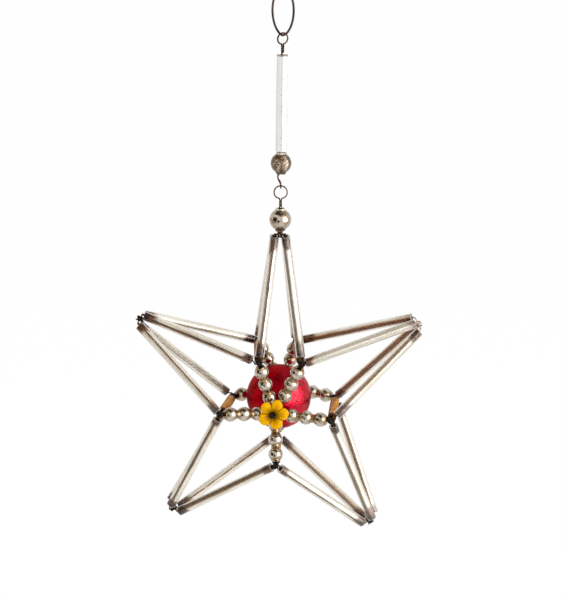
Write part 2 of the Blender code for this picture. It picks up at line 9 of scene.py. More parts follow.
import bpy
import numpy as np
from bpy.props import FloatProperty, FloatVectorProperty, IntProperty, PointerProperty
from mathutils import Matrix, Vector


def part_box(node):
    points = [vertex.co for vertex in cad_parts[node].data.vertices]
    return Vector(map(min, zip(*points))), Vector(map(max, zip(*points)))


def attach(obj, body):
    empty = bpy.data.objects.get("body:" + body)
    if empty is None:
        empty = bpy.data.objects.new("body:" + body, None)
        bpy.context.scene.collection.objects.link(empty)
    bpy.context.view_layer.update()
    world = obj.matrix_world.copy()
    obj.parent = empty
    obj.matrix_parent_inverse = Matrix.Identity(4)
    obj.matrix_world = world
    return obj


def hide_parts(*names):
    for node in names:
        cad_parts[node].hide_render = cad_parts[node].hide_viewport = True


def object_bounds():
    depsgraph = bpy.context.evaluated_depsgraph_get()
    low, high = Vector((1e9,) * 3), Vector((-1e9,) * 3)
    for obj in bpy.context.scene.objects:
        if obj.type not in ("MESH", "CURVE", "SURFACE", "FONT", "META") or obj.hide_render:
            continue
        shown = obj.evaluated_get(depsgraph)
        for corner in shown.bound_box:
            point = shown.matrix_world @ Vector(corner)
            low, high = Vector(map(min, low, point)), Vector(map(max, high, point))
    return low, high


bl_info = {
    "name": "Hanging glass star",
    "version": (1, 0, 0),
    "blender": (4, 5, 0),
    "location": "View3D > Sidebar > Glass star",
    "description": "Dresses the frame of a hanging star of silvered glass tubes, blown beads and wire",
    "category": "Object",
}

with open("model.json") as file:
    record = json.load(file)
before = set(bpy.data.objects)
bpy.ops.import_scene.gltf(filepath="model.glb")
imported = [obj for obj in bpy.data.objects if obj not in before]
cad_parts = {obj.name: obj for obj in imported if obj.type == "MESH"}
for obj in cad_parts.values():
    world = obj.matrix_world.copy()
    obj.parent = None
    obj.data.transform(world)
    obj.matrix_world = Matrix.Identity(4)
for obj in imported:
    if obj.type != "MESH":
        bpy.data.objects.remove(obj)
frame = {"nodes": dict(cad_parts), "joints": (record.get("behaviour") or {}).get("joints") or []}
CAD_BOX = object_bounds()

MM = 0.001
UP = np.array((0.0, 0.0, 1.0))
RIGHT = np.array((1.0, 0.0, 0.0))
FRONT = np.array((0.0, -1.0, 0.0))
FACES = {"front": 1, "back": -1}
TIP_NAMES = ("top", "right", "low_right", "low_left", "left")
POINTS = len(TIP_NAMES)

# Where the camera stands, and how it is turned, in degrees
CAMERA_PLACE = (-0.00267, -0.57347, 0.06545)
CAMERA_AZIMUTH = -0.38
CAMERA_ELEVATION = 15.42
CAMERA_ROLL = 0.80
CAMERA_LENS = 120.0
CAMERA_CLIP = (0.01, 20.0)

# Lamps: name, place, width and height, power in watts
LAMPS = (
    ("window_lamp", (0.88, -0.60, 0.14), (1.15, 1.0), 12.5),
    ("fill_lamp", (-0.9, -0.5, 0.5), (0.8, 0.8), 6.0),
    ("top_lamp", (0.1, 0.2, 0.9), (0.7, 0.7), 5.0),
)

# Cards that the mirrors show in place of the lamps: name, place, half width, half height, colour, strength
CARDS = (
    ("window_card", (0.88, -0.60, 0.14), 0.575, 0.50, "ffffff", 4.6),
    ("ceiling_card", (-0.10, -0.10, 0.50), 0.50, 0.26, "564c3c", 1.0),
    ("room_card", (-0.43, -0.26, -0.02), 0.22, 0.20, "4a3220", 1.0),
    ("photographer_card", (-0.16, -0.46, -0.15), 0.085, 0.13, "0c0a08", 1.0),
)
CORNERS = ((-1, -1), (1, -1), (1, 1), (-1, 1))

# Light of the white world where the camera, mirrors and glass do not show it
WORLD_LIGHT = 0.62

# Floor: half its width, how far it lies below the star, and the glow that whitens it, but for its shadow
FLOOR_REACH = 6.0
FLOOR_DROP = 0.26
FLOOR_GLOW = 1.007
FLOOR_GLOW_SHARE = 0.96

# Binding wire as the frame has it: how it is wound and bent
WIRE = 0.0004
KNOT_SLACK = 0.00024
KNOT_RING = WIRE + KNOT_SLACK
KNOT_PITCH = 0.00066
KNOT_STRAIGHT = 0.0016
TIP_KNOT_TURNS = 1.25
TIP_STRAND_GAP = 0.0002
TIP_TAIL = 0.0009
TUBE_TIP_GAP = 0.0004
JOINT_PULL = 0.33

# Bends of the wires: how far they pull towards their end directions, and their steps
BEND_PULL = 0.55
BEND_STEPS = 8
LONG_BEND_STEPS = 10
TAIL_STEPS = 6

# Points along the round parts of the wires
BOW_POINTS = 25
RING_POINTS = 57
NECK_POINTS = 34
TIP_TURN_POINTS = 31
JOINT_TURN_POINTS = 37
LOOP_POINTS = 120

# Level direction that the profile of the star's hanger wire is counted from
HANGER_REFERENCE = np.array((0.6, 0.8, 0.0))

# Tip whose wire is rubbed bare, and how far from it
BARE_TIP = 1
BARE_REACH = 0.0022

# Dark lashings over the knots: their wire, and their turns at the joints and at each tip
LASHING_WIRE = 0.00036
LASHING_RADIUS = 0.00082
LASHING_SPREAD = 0.00062
LASHING_TAIL = 0.0010
LASHING_FACETS = 8
LASHING_STEPS = 26
JOINT_LASHINGS = 5
TIP_LASHINGS = (4, 1, 2, 3, 4)
LASHING_SEEDS = {"front": 0.7, "back": 2.9}

# Rings, hook and hanging loop as the frame has them
RING_WIRE = 0.00046
RING_MOUTH = 76.0
NECK_LENGTH = 0.0022
NECK_TURNS = 1.5
NECK_STRAND_GAP = 0.00012
UPPER_RING = (0.0042, 0.0037)
UPPER_RING_TURN = 40.0
STAR_RING = (0.0043, 0.0043)
STRUNG_GAP = 0.0003
HOOK_WIDTH = 0.0015
HOOK_LENGTH = 0.0043
HOOK_SWAY = 0.0009
HOOK_LIMB = 0.62
HOOK_SHANK = 0.78
LOOP_WIRE = 0.00065
LOOP_TURN = -28.0
LOOP_WIDTH = 0.0075
LOOP_POINT = 1.2

# Petals of the flower, from the upper one on anticlockwise: how far each is turned from an even fifth, in
# degrees, its share of the full reach, and how deep the notch after it cuts, as a share of the reach
PETAL_TURNS = (-6.0, -16.0, -9.0, 6.0, 8.0)
PETAL_REACH = (1.07, 0.98, 0.93, 0.95, 1.04)
PETAL_NOTCHES = (0.42, 0.31, 0.39, 0.34, 0.29)
PETAL_CROWN = 0.97
PETAL_ROWS = 26
PETAL_COLUMNS = 28

# Three grooves of a petal: how far the outer two lie from the middle one and how wide they are, in shares of
# a petal's width, and how deep they are
GROOVE_PLACE = 0.20
GROOVE_WIDTH = 0.06
GROOVE_DEPTH = 0.00020

# Strands of wire in the flower's eye; the reaches are shares of the hole's radius for each strand
EYE_SLANT = 22.0
EYE_STEP = 0.00050
EYE_RISE = 0.0011
EYE_WIRE = 0.00052
EYE_REACHES = {-1: 0.72, 0: 0.98, 1: 0.72}
EYE_DIP = 0.35
EYE_BEND = 0.35

# Edges sharper than this many degrees stay sharp
CREASE = 42.0
FLOWER_CREASE = 60.0

# Bores and rims of the glass
TUBE_BORE = 0.0015
CROSS_TUBE_BORE = 0.0014
STICK_BORE = 0.0011
BEAD_NECK = 0.0026
NECK_FILLET = 0.0001
BEAD_PITCH = 0.0045
STRUNG_BORE = 0.0018
BEAD_RIM = 0.0003
BEAD_EDGE = 0.30
COLLAR_LIP = 0.00026
COLLAR_DEPTH = 0.00035
COLLAR_RADIUS = 0.00135
COLLAR_PLAY = 0.00002
COLLAR_BULGE = 0.00008
COLLAR_CROWN = 0.00004
COLLAR_FACETS = 72

# Rows of points up the glass
TUBE_ROWS = 26
CROSS_TUBE_ROWS = 14
SATIN_ROWS = 30
BORE_ROWS = 6
STICK_BEAD_ROWS = 19
STRUNG_BEAD_ROWS = 48
BALL_ROWS = 64
BALL_INNER_ROWS = 16
BALL_FACETS = 96

# Strung beads: node, body, name of the finish, how worn it is, and where the collars' waves start
STRUNG_BEADS = (
    ("link_bead", "strung_link_bead", "crazed mirror", 1.0, 1.7),
    ("star_bead", "strung_star_bead", "rubbed mirror", 0.35, 4.1),
)

# How far apart the short tubes' streaks are drawn, in millimetres, so that no two look alike
STREAK_SHIFT = 40.0

# Six-sided satin tube: how far its flats lie in from its radius, how sharp its edges are, and its rims
SATIN_FLAT = 0.955
SATIN_EDGE = 16.0
SATIN_RIM = 0.00016
SATIN_SEED = 2.2
SATIN_FACETS = 120

# Direction that the wear of a long tube is counted from: towards the camera, a little up
WEAR_AHEAD = FRONT + UP * 0.27

# Worn silvering of each long tube: where its streak lies, in degrees round from the front, the streak's half
# width in radians, how dark it is, how far it has turned to copper, and how burnt the tube's tip end is
TUBE_WEAR = {
    "top_front_a": (-6, 0.40, 0.68, 0.15, 0.7), "top_front_b": (-50, 0.60, 0.50, 0.00, 0.7),
    "top_back_a": (24, 0.70, 0.62, 0.70, 0.8), "top_back_b": (-20, 0.50, 0.44, 0.20, 0.7),
    "right_front_a": (-22, 1.10, 0.24, 0.00, 0.4), "right_front_b": (-26, 0.46, 0.46, 0.70, 0.7),
    "right_back_a": (22, 0.62, 0.88, 0.85, 0.3), "right_back_b": (-14, 0.80, 0.64, 0.95, 0.4),
    "low_right_front_a": (38, 0.55, 0.58, 0.05, 0.5), "low_right_front_b": (32, 0.26, 0.74, 0.00, 0.6),
    "low_right_back_a": (16, 0.46, 0.50, 0.40, 0.4), "low_right_back_b": (4, 0.52, 0.48, 0.50, 0.7),
    "low_left_front_a": (28, 0.80, 0.76, 0.12, 1.0), "low_left_front_b": (18, 0.40, 0.95, 0.05, 1.0),
    "low_left_back_a": (-4, 0.20, 0.80, 0.35, 0.8), "low_left_back_b": (-40, 0.34, 0.74, 0.20, 0.9),
    "left_front_a": (15, 0.24, 0.80, 0.30, 0.9), "left_front_b": (-32, 0.50, 0.78, 0.35, 1.0),
    "left_back_a": (14, 0.60, 0.40, 0.00, 0.8), "left_back_b": (-44, 0.24, 0.52, 0.20, 0.9),
}


def shade(code):
    """Linear colour of a six-digit screen colour code."""
    parts = np.array([int(code[place:place + 2], 16) for place in (0, 2, 4)]) / 255
    return tuple(np.where(parts <= 0.04045, parts / 12.92, ((parts + 0.055) / 1.055) ** 2.4))


def tint(name, code, description):
    """Colour property with its default as a screen colour code."""
    return FloatVectorProperty(name=name, description=description, subtype="COLOR", size=3,
                               min=0.0, max=1.0, default=shade(code))


class GlassStarColours(bpy.types.PropertyGroup):
    """Colours of the glass and the wire."""
    silver: tint("Silver", "eae7e1", "Bright silvering inside the long tubes")
    tarnish: tint("Tarnish", "22130a", "Dark streaks in the silvering")
    olive: tint("Olive", "9c957a", "Thin olive veil beside the streaks")
    copper: tint("Copper", "7c3e12", "Silvering that has turned brown")
    burnt: tint("Burnt ends", "2e1606", "Tarnish at the tube ends")
    clear: tint("Clear glass", "f7f4f0", "Tint of the clear glass wall")
    amber: tint("Amber", "a8721f", "Short tubes between front and back")
    champagne: tint("Champagne", "c2b7a8", "Mirror silvering of the beads")
    rust: tint("Rust gold", "7c5026", "Necks and collars of the beads")
    crimson: tint("Crimson", "bc071a", "Lacquer of the ball")
    yellow: tint("Yellow", "d49c00", "Pressed glass flower")
    groove: tint("Groove", "5c3200", "Grooves of the flower")
    satin: tint("Satin white", "d9dad6", "Satin glass of the strung tube")
    wire: tint("Wire", "30200f", "Tarnished wire")
    wire_wear: tint("Worn wire", "8a6438", "Wire where its tarnish is rubbed off")
    bare_wire: tint("Bare wire", "b3a794", "Wire that is rubbed bare")


class GlassStarSizes(bpy.types.PropertyGroup):
    """Sizes of details that the frame does not set."""
    tube_facets: IntProperty(name="Tube facets", description="Facets round a glass tube", default=28, min=8)
    bead_facets: IntProperty(name="Bead facets", description="Facets round a blown bead", default=36, min=8)
    wire_facets: IntProperty(name="Wire facets", description="Facets round a wire", default=10, min=6)
    rim_round: FloatProperty(name="Rim rounding", description="Melted edge of a cut tube end",
                             default=0.00012, min=0.0, unit="LENGTH")
    rim_chip: FloatProperty(name="Rim chipping", description="How uneven a cut tube end is",
                            default=0.00009, min=0.0, unit="LENGTH")


def unit(vectors):
    """Vectors scaled to length one."""
    return vectors / np.linalg.norm(vectors, axis=-1, keepdims=True)


def across(way, axis):
    """Unit part of a direction square to an axis."""
    return unit(way - axis * np.dot(way, axis))


def level_way(degrees):
    """Level direction, in degrees round from the right."""
    turn = math.radians(degrees)
    return np.array((math.cos(turn), math.sin(turn), 0.0))


def circle(facets):
    """Angles of corners spaced evenly round a circle."""
    return np.linspace(0.0, math.tau, facets, endpoint=False)


def box(node):
    """Lowest and highest corner of a node's box."""
    return [np.array(corner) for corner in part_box(node)]


def box_middle(node):
    """Middle of a node's box."""
    return sum(box(node)) / 2


def node_points(node):
    """Corners of a node, each once."""
    mesh = frame["nodes"][node].data
    places = np.empty(3 * len(mesh.vertices), np.float32)
    mesh.vertices.foreach_get("co", places)
    return np.unique(np.round(places.reshape(-1, 3).astype(float), 7), axis=0)


class Axis:
    """Line through a turned node: the longest principal direction of its corners, and its reach along it."""

    def __init__(self, node, towards):
        points = node_points(node)
        self.middle = points.mean(axis=0)
        way = np.linalg.svd(points - self.middle)[2][0]
        self.way = way if np.dot(way, towards) > 0.0 else -way
        along = (points - self.middle) @ self.way
        self.radius = np.linalg.norm(points - self.middle - np.outer(along, self.way), axis=1).max()
        self.base = self.middle + self.way * along.min()
        self.end = self.middle + self.way * along.max()
        self.length = along.max() - along.min()


def meeting(axes):
    """Point nearest to several lines, by least squares on its distances square to them."""
    squares = [np.eye(3) - np.outer(axis.way, axis.way) for axis in axes]
    pulls = [square @ axis.middle for square, axis in zip(squares, axes)]
    return np.linalg.solve(sum(squares), sum(pulls))


class Star:
    """Joints, tips and directions of the star, measured on the frame's nodes."""

    def __init__(self):
        centre = box_middle("ball")
        self.tubes = {}
        for tip in TIP_NAMES:
            for face in FACES:
                for hand in "ab":
                    node = f"tube_{tip}_{face}_{hand}"
                    self.tubes[tip, face, hand] = Axis(node, box_middle(node) - centre)
        self.cross = [Axis(f"cross_tube_{joint + 1}", -FRONT) for joint in range(POINTS)]
        self.sticks = {}
        self.knots = {}
        for face in FACES:
            for joint in range(POINTS):
                node = f"bead_stick_{face}_{joint + 1}"
                stick = Axis(node, centre - box_middle(node))
                self.sticks[face, joint] = stick
                self.knots[face, joint] = meeting([*self.joint_tubes(face, joint), stick, self.cross[joint]])
        flower = node_points("flower")
        self.flower_middle = flower.mean(axis=0)
        facing = np.linalg.svd(flower - self.flower_middle)[2][2]
        self.facing = facing if np.dot(facing, FRONT) > 0.0 else -facing
        self.up = across(UP, self.facing)
        self.right = np.cross(self.up, self.facing)

    def joint_tubes(self, face, joint):
        """The two long tubes that meet at an inner joint, in the order in which the frame wire runs."""
        return self.tubes[TIP_NAMES[joint - 1], face, "b"], self.tubes[TIP_NAMES[joint], face, "a"]

    def joint_run(self, face, joint):
        """Direction in which the frame wire runs through an inner joint."""
        arriving, leaving = self.joint_tubes(face, joint)
        return unit(leaving.way - arriving.way)

    def tip_frame(self, tip):
        """Place, outward, sideways and front directions at a tip, from its four tube ends."""
        ends = {key[1:]: tube.end + tube.way * TUBE_TIP_GAP
                for key, tube in self.tubes.items() if key[0] == TIP_NAMES[tip]}
        place = sum(ends.values()) / 4
        side = unit(ends["front", "b"] + ends["back", "b"] - ends["front", "a"] - ends["back", "a"])
        front = ends["front", "a"] + ends["front", "b"] - ends["back", "a"] - ends["back", "b"]
        front = across(front, side)
        return place, np.cross(front, side), side, front


STAR = Star()


def bend(start, start_way, end, end_way, steps=BEND_STEPS, pull=BEND_PULL):
    """Cubic curve that leaves start along start_way and arrives at end along end_way."""
    reach = np.linalg.norm(end - start) * pull
    t = np.linspace(0.0, 1.0, steps + 1)[:, None]
    s = 1.0 - t
    first = start + start_way * reach
    second = end - end_way * reach
    return start * s ** 3 + first * 3 * s * s * t + second * 3 * s * t * t + end * t ** 3


def path(*runs):
    """Runs of points one after another, without the points that repeat."""
    points = np.concatenate([np.atleast_2d(run) for run in runs])
    fresh = np.linalg.norm(np.diff(points, axis=0), axis=1) > 1e-7
    return points[np.concatenate([[True], fresh])]


def carried(points, radius, reference, facets, closed=False):
    """Round profile carried along a path: at each point a circle of that radius in the plane square to the
    path, its corners counted from the direction square to both the path and a reference direction."""
    if closed:
        ways = np.roll(points, -1, axis=0) - np.roll(points, 1, axis=0)
    else:
        ways = np.gradient(points, axis=0)
    ways = unit(ways)
    one = unit(np.cross(reference, ways))[:, None]
    two = np.cross(ways[:, None], one)
    turn = circle(facets)[None, :, None]
    return points[:, None] + radius * (np.cos(turn) * one + np.sin(turn) * two)


def spun(radii, heights, base, way, ahead, facets):
    """Outline turned about an axis: each (radius, height) goes round the axis, with angle zero straight
    ahead. Radii and heights may also vary round the axis. Gives the points and the angles."""
    ahead = across(ahead, way)
    aside = np.cross(way, ahead)
    whole = (len(heights), facets)
    turn = np.broadcast_to(circle(facets), whole)
    radii, heights = (np.broadcast_to(part if np.ndim(part) == 2 else np.reshape(part, (-1, 1)), whole)
                      for part in (radii, heights))
    points = (base + heights[..., None] * way + (radii * np.cos(turn))[..., None] * ahead
              + (radii * np.sin(turn))[..., None] * aside)
    return points, turn


class Shape:
    """Grids of points gathered into the mesh of one piece."""

    def __init__(self):
        self.points = []
        self.faces = []
        self.slots = []
        self.marks = {}
        self.count = 0

    def add(self, grid, closed=(True, True), slots=0, **marks):
        """Skin a grid with four-cornered faces. A closed direction joins its last row or column to its
        first; rows that stay open are capped. The faces are turned so that the volume they enclose is
        positive. slots gives the material of every row of faces, marks the attributes of the points.
        Gives the shape."""
        rows, columns = grid.shape[:2]
        ring = np.arange(rows * columns).reshape(rows, columns)
        if closed[0]:
            ring = np.vstack([ring, ring[:1]])
        wound = np.hstack([ring, ring[:, :1]])
        quads = np.stack([wound[:-1, :-1], wound[1:, :-1], wound[1:, 1:], wound[:-1, 1:]], axis=-1)
        slots = np.broadcast_to(np.reshape(slots, (-1, 1)), quads.shape[:2]).ravel().tolist()
        quads = quads.reshape(-1, 4)
        flat = grid.reshape(-1, 3) - grid.reshape(-1, 3).mean(axis=0)
        halves = np.concatenate([quads[:, :3], quads[:, [0, 2, 3]]])
        one, two, three = (flat[halves[:, corner]] for corner in range(3))
        volume = np.einsum("ij,ij->i", one, np.cross(two, three)).sum()
        faces = quads.tolist()
        if not closed[0]:
            faces += [ring[0].tolist(), ring[-1][::-1].tolist()]
            slots += [slots[0], slots[-1]]
        if volume < 0.0:
            faces = [face[::-1] for face in faces]
        self.points.append(grid.reshape(-1, 3))
        self.faces += [[corner + self.count for corner in face] for face in faces]
        self.slots += slots
        for key, values in marks.items():
            self.marks.setdefault(key, []).append(np.broadcast_to(values, (rows, columns, 3)).reshape(-1, 3))
        self.count += rows * columns
        return self

    def piece(self, name, materials, body, slot, nodes=(), crease=CREASE):
        """Object with these points and faces that rides on a body and may stand for nodes."""
        mesh = bpy.data.meshes.new(name)
        mesh.from_pydata(np.concatenate(self.points).tolist(), [], self.faces)
        for material in materials:
            mesh.materials.append(material)
        mesh.polygons.foreach_set("material_index", self.slots)
        for key, values in self.marks.items():
            mark = mesh.attributes.new(key, "FLOAT_VECTOR", "POINT")
            mark.data.foreach_set("vector", np.concatenate(values).astype(np.float32).ravel())
        mesh.shade_smooth()
        mesh.set_sharp_from_angle(angle=math.radians(crease))
        item = bpy.data.objects.new(name, mesh)
        bpy.context.scene.collection.objects.link(item)
        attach(item, body)
        if nodes:
            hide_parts(*nodes)


def joining(operation, turned=False):
    """Method that joins two values by a Math node, the other one first if turned."""
    def method(self, other):
        first, second = (other, self) if turned else (self, other)
        return self.graph.node("ShaderNodeMath", {0: first, 1: second}, operation=operation)
    return method


class Wired:
    """One socket of a graph's nodes; Python's operators join it to others by Math nodes."""

    def __init__(self, graph, socket):
        self.graph = graph
        self.socket = socket

    __add__ = joining("ADD")
    __radd__ = joining("ADD", True)
    __sub__ = joining("SUBTRACT")
    __rsub__ = joining("SUBTRACT", True)
    __mul__ = joining("MULTIPLY")
    __rmul__ = joining("MULTIPLY", True)
    __truediv__ = joining("DIVIDE")
    __rtruediv__ = joining("DIVIDE", True)
    __pow__ = joining("POWER")
    least = joining("MINIMUM")
    most = joining("MAXIMUM")

    def alone(self, operation):
        """Math node on this value alone."""
        return self.graph.node("ShaderNodeMath", {0: self}, operation=operation)

    def ruffled(self, cloud, amount):
        """This value made uneven by a cloud, up and down by half the amount at most."""
        return self + (cloud - 0.5) * amount

    def step(self, low, high):
        """Smooth step from nought at low to one at high; low may be the larger."""
        return self.graph.node("ShaderNodeMapRange", {0: self, 1: low, 2: high, 3: 0.0, 4: 1.0},
                               interpolation_type="SMOOTHSTEP")


class Graph:
    """Nodes of a material or of the world."""

    def __init__(self, owner):
        owner.use_nodes = True
        self.tree = owner.node_tree

    def node(self, kind, sockets=(), output=0, **settings):
        """Add a node: its settings, then its sockets' values or links. Gives one of its outputs."""
        node = self.tree.nodes.new(kind)
        for key, value in settings.items():
            setattr(node, key, value)
        for key, value in dict(sockets).items():
            self.feed(node.inputs[key], value)
        return Wired(self, node.outputs[output])

    def feed(self, socket, value):
        """Link a socket to a wired value, or set it to a plain one. Text is a screen colour code."""
        if isinstance(value, Wired):
            self.tree.links.new(value.socket, socket)
            return
        if isinstance(value, str):
            value = shade(value)
        socket.default_value = (*value, 1.0) if socket.type == "RGBA" and len(value) == 3 else value

    def path_is(self, *kinds):
        """One where the ray is of one of these kinds, else nought."""
        rays = self.node("ShaderNodeLightPath").socket.node.outputs
        first, *others = (Wired(self, rays[f"Is {kind} Ray"]) for kind in kinds)
        for other in others:
            first = first.most(other)
        return first


class Finish(Graph):
    """A material in the making: its nodes and its shader."""

    def __init__(self, name):
        self.material = bpy.data.materials.new(name)
        super().__init__(self.material)
        self.shader = self.tree.nodes["Principled BSDF"]

    def set(self, **inputs):
        """Feed the shader's sockets, named with underscores for spaces."""
        for key, value in inputs.items():
            self.feed(self.shader.inputs[key.replace("_", " ")], value)
        return self.material

    def over(self, share, other):
        """Lay another shader over the material's own by a share of it."""
        output = self.tree.nodes["Material Output"].inputs["Surface"]
        below = Wired(self, output.links[0].from_socket)
        self.feed(output, self.node("ShaderNodeMixShader", {0: share, 1: below, 2: other}))
        return self.material

    def place(self):
        """Object coordinates, in millimetres."""
        return self.scaled(self.node("ShaderNodeTexCoord", output=3), (1 / MM, 1 / MM, 1 / MM))

    def parts(self, vector):
        """The three numbers of a vector."""
        first = self.node("ShaderNodeSeparateXYZ", {0: vector})
        return [Wired(self, output) for output in first.socket.node.outputs]

    def mark(self, name):
        """The three numbers of an attribute of the piece's own points."""
        return self.parts(self.node("ShaderNodeAttribute", output=1, attribute_name=name))

    def joined(self, *values):
        """Vector of three numbers."""
        return self.node("ShaderNodeCombineXYZ", dict(enumerate(values)))

    def scaled(self, vector, factors):
        """Vector with each of its numbers multiplied."""
        return self.node("ShaderNodeVectorMath", {0: vector, 1: factors}, operation="MULTIPLY")

    def moved(self, vector, shift):
        """Vector shifted by another."""
        return self.node("ShaderNodeVectorMath", {0: vector, 1: shift}, operation="ADD")

    def noise(self, vector, scale, detail=4.0, roughness=0.55, distortion=0.0):
        """Cloudy value from nought to one."""
        return self.node("ShaderNodeTexNoise", {
            "Vector": vector, "Scale": scale, "Detail": detail, "Roughness": roughness,
            "Distortion": distortion})

    def cells(self, vector, scale, feature="F1"):
        """Distance to scattered points, or to the edges between their cells."""
        return self.node("ShaderNodeTexVoronoi", {"Vector": vector, "Scale": scale}, feature=feature)

    def blend(self, share, first, second):
        """Number between two wired ones, by a share."""
        return share * (second - first) + first

    def mix(self, share, first, second):
        """Colour between two, by a share."""
        return self.node("ShaderNodeMix", {0: share, 6: first, 7: second}, 2, data_type="RGBA")

    def coats(self, colour, *coats):
        """Colour with others laid over it in turn, each given after its share."""
        for share, other in coats:
            colour = self.mix(share, colour, other)
        return colour

    def bump(self, height, strength, distance):
        """Surface direction roughened by a height."""
        return self.node("ShaderNodeBump",
                         {"Strength": strength, "Distance": distance, "Height": height})


def clear_glass(colours):
    """Clear drawn glass with faint ridges, under a thin layer of grime and painted edge shade that greys it
    towards its outlines as seen, and darkens its cut rims where the tube is burnt. Lamps and reflections
    reach the lining through it unbent."""
    glass = Finish("clear drawn glass")
    around, aside, along = glass.mark("lay")
    near_end, far_end, _ = glass.mark("ends")
    tip_burn, near_burn, _ = glass.mark("burn")
    near_reach, tip_reach, _ = glass.mark("reach")
    ridges = glass.noise(glass.joined(around * 0.7, aside * 0.7, along * 0.5), 1.6, 3.0)
    grime = glass.noise(glass.joined(around * 1.2, aside * 1.2, along * 0.20), 1.3, 4.0, 0.6)
    fine = glass.noise(glass.joined(around * 1.4, aside * 1.4, along * 0.6), 1.0, 2.0, 0.5)
    end = near_end.least(far_end)
    rim = end.ruffled(fine, 0.5).step(0.34, 0.06)
    at_tip = far_end.step(6.0, 5.0)
    burn = glass.blend(at_tip, near_burn, tip_burn)
    reach = glass.blend(at_tip, near_reach, tip_reach)
    smoke = (end / reach).step(1.2, 0.4) * burn
    pale_rim = glass.mix(fine.step(0.40, 0.60), "8f857a", "e4e0da")
    dark_rim = glass.mix(fine.step(0.40, 0.62), "2a1c14", "8a7666")
    grime_and_edge_shade_colour = glass.coats(glass.mix(grime, "d9d0c2", "a99c88"), (smoke * 0.8, "50341e"),
                              (rim, glass.mix(burn, pale_rim, dark_rim)))
    grime_and_edge_shade = glass.node("ShaderNodeBsdfPrincipled",
                      {"Base Color": grime_and_edge_shade_colour, "Roughness": 0.5, "Specular IOR Level": 0.3})
    # Its share grows towards the outlines as seen: painted edge shade, with a little real grime in patches.
    edge = glass.node("ShaderNodeLayerWeight", {"Blend": 0.5}, output=1)
    share = (edge ** 1.6 * 0.60 + grime.step(0.55, 0.75) * 0.08).most(rim * 0.62)
    glass.set(Base_Color=colours.clear, Roughness=0.03, IOR=1.5, Transmission_Weight=1.0,
              Normal=glass.bump(ridges, 0.05, 0.0002))
    glass.over(share, grime_and_edge_shade)
    open_air = glass.node("ShaderNodeBsdfTransparent", {"Color": colours.clear})
    return glass.over(glass.path_is("Shadow", "Diffuse", "Glossy"), open_air)


def silvered_lining(colours):
    """Silver on the bore of a tube: a long streak of tarnish down one side, darker along one of its edges,
    with dotted borders, a thinner streak on the far side, a few specks, and ragged burnt ends."""
    lining = Finish("worn silver lining")
    facing, aside, along = lining.mark("lay")
    copper, width, depth = lining.mark("wear")
    near_end, far_end, seed = lining.mark("ends")
    tip_burn, near_burn, slant = lining.mark("burn")
    near_reach, tip_reach, _ = lining.mark("reach")
    shift = lining.joined(seed * 7.0, seed * 3.0, seed * 11.0)
    skin = lining.moved(lining.joined(facing * 0.75, aside * 0.75, along), shift)
    drawn = lining.noise(lining.scaled(skin, (0.9, 0.9, 0.09)), 1.0, 2.0, 0.5)
    blots = lining.noise(lining.scaled(skin, (0.9, 0.9, 0.35)), 1.0, 2.0, 0.5)
    fine = lining.noise(lining.scaled(skin, (1.0, 1.0, 0.4)), 1.6, 1.0, 0.5)
    wander = (drawn - 0.5) * 0.9
    ragged = wander.ruffled(blots, 0.45)
    angle = facing.most(-1.0).least(1.0).alone("ARCCOSINE")
    rear_angle = (aside * 0.5 - facing * 0.866).alone("ARCCOSINE")
    streak = (angle - width - ragged * 0.50).step(0.09, -0.07)
    rear = (rear_angle - width * 0.6 - ragged * 0.50).step(0.09, -0.07)
    line = aside - width * 0.62 - wander * 0.25
    core = ((line * line) ** 0.5).step(0.13, 0.05) * facing.step(0.0, 0.2)
    core = core * blots.step(0.36, 0.48) * depth.step(0.45, 0.9)
    veil = (angle - width * 1.35 - ragged * 0.9).step(0.45, -0.10)
    hatch_wave = (along * 5.4 + aside * 2.0).alone("SINE")
    hatched = lining.noise(skin, 0.16, 2.0).step(0.48, 0.58) * (hatch_wave + fine).step(0.2, 0.9)
    border = (angle - width - ragged * 0.55).step(0.34, 0.10) * (1.0 - streak)
    specks = lining.cells(skin, 0.8).step(0.16, 0.09) * blots.step(0.50, 0.62)
    end = near_end.least(far_end)
    end_share = (near_end - far_end).step(-4.0, 4.0)
    burn = lining.blend(end_share, near_burn, tip_burn)
    reach = lining.blend(end_share, near_reach, tip_reach)
    burnt = ((end + ragged * 3.0 + aside * slant) / reach).step(1.25, 0.70)
    mouth = ((end + ragged * 2.0) / reach).step(0.60, 0.08)
    ground = lining.coats(lining.mix(drawn.step(0.38, 0.66), colours.silver, "d9d5c8"),
                          (veil * (depth * 0.35 + 0.10), colours.olive), (veil * copper * 0.55, "b48a60"),
                          (border * hatched * (copper * 0.5 + 0.08), "5c4632"))
    slope = (aside / width).ruffled(blots, 1.2).step(-0.9, 0.9)
    brown = lining.mix(slope, "62492a", colours.tarnish)
    red_brown = lining.mix(slope, colours.copper, "3a180a")
    dark = lining.coats(brown, (copper, red_brown), (fine.step(0.50, 0.72) * 0.30, "8a6434"))
    mask = (streak.most(rear) * depth * (2.0 - depth)).most(specks * 0.7)
    smoky = lining.mix(blots.step(0.40, 0.66), colours.burnt, "6a3e20")
    colour = lining.coats(ground, (mask, dark), (core * 0.85, "1e1208"),
                          (burnt * burn * (1.9 - burn * 0.9), smoky), (mouth * burn, "1c0f08"))
    worn = mask.most(burnt)
    return lining.set(Base_Color=colour, Metallic=0.60 - worn * 0.40, Roughness=worn * 0.15 + 0.40,
                      Specular_IOR_Level=0.1)


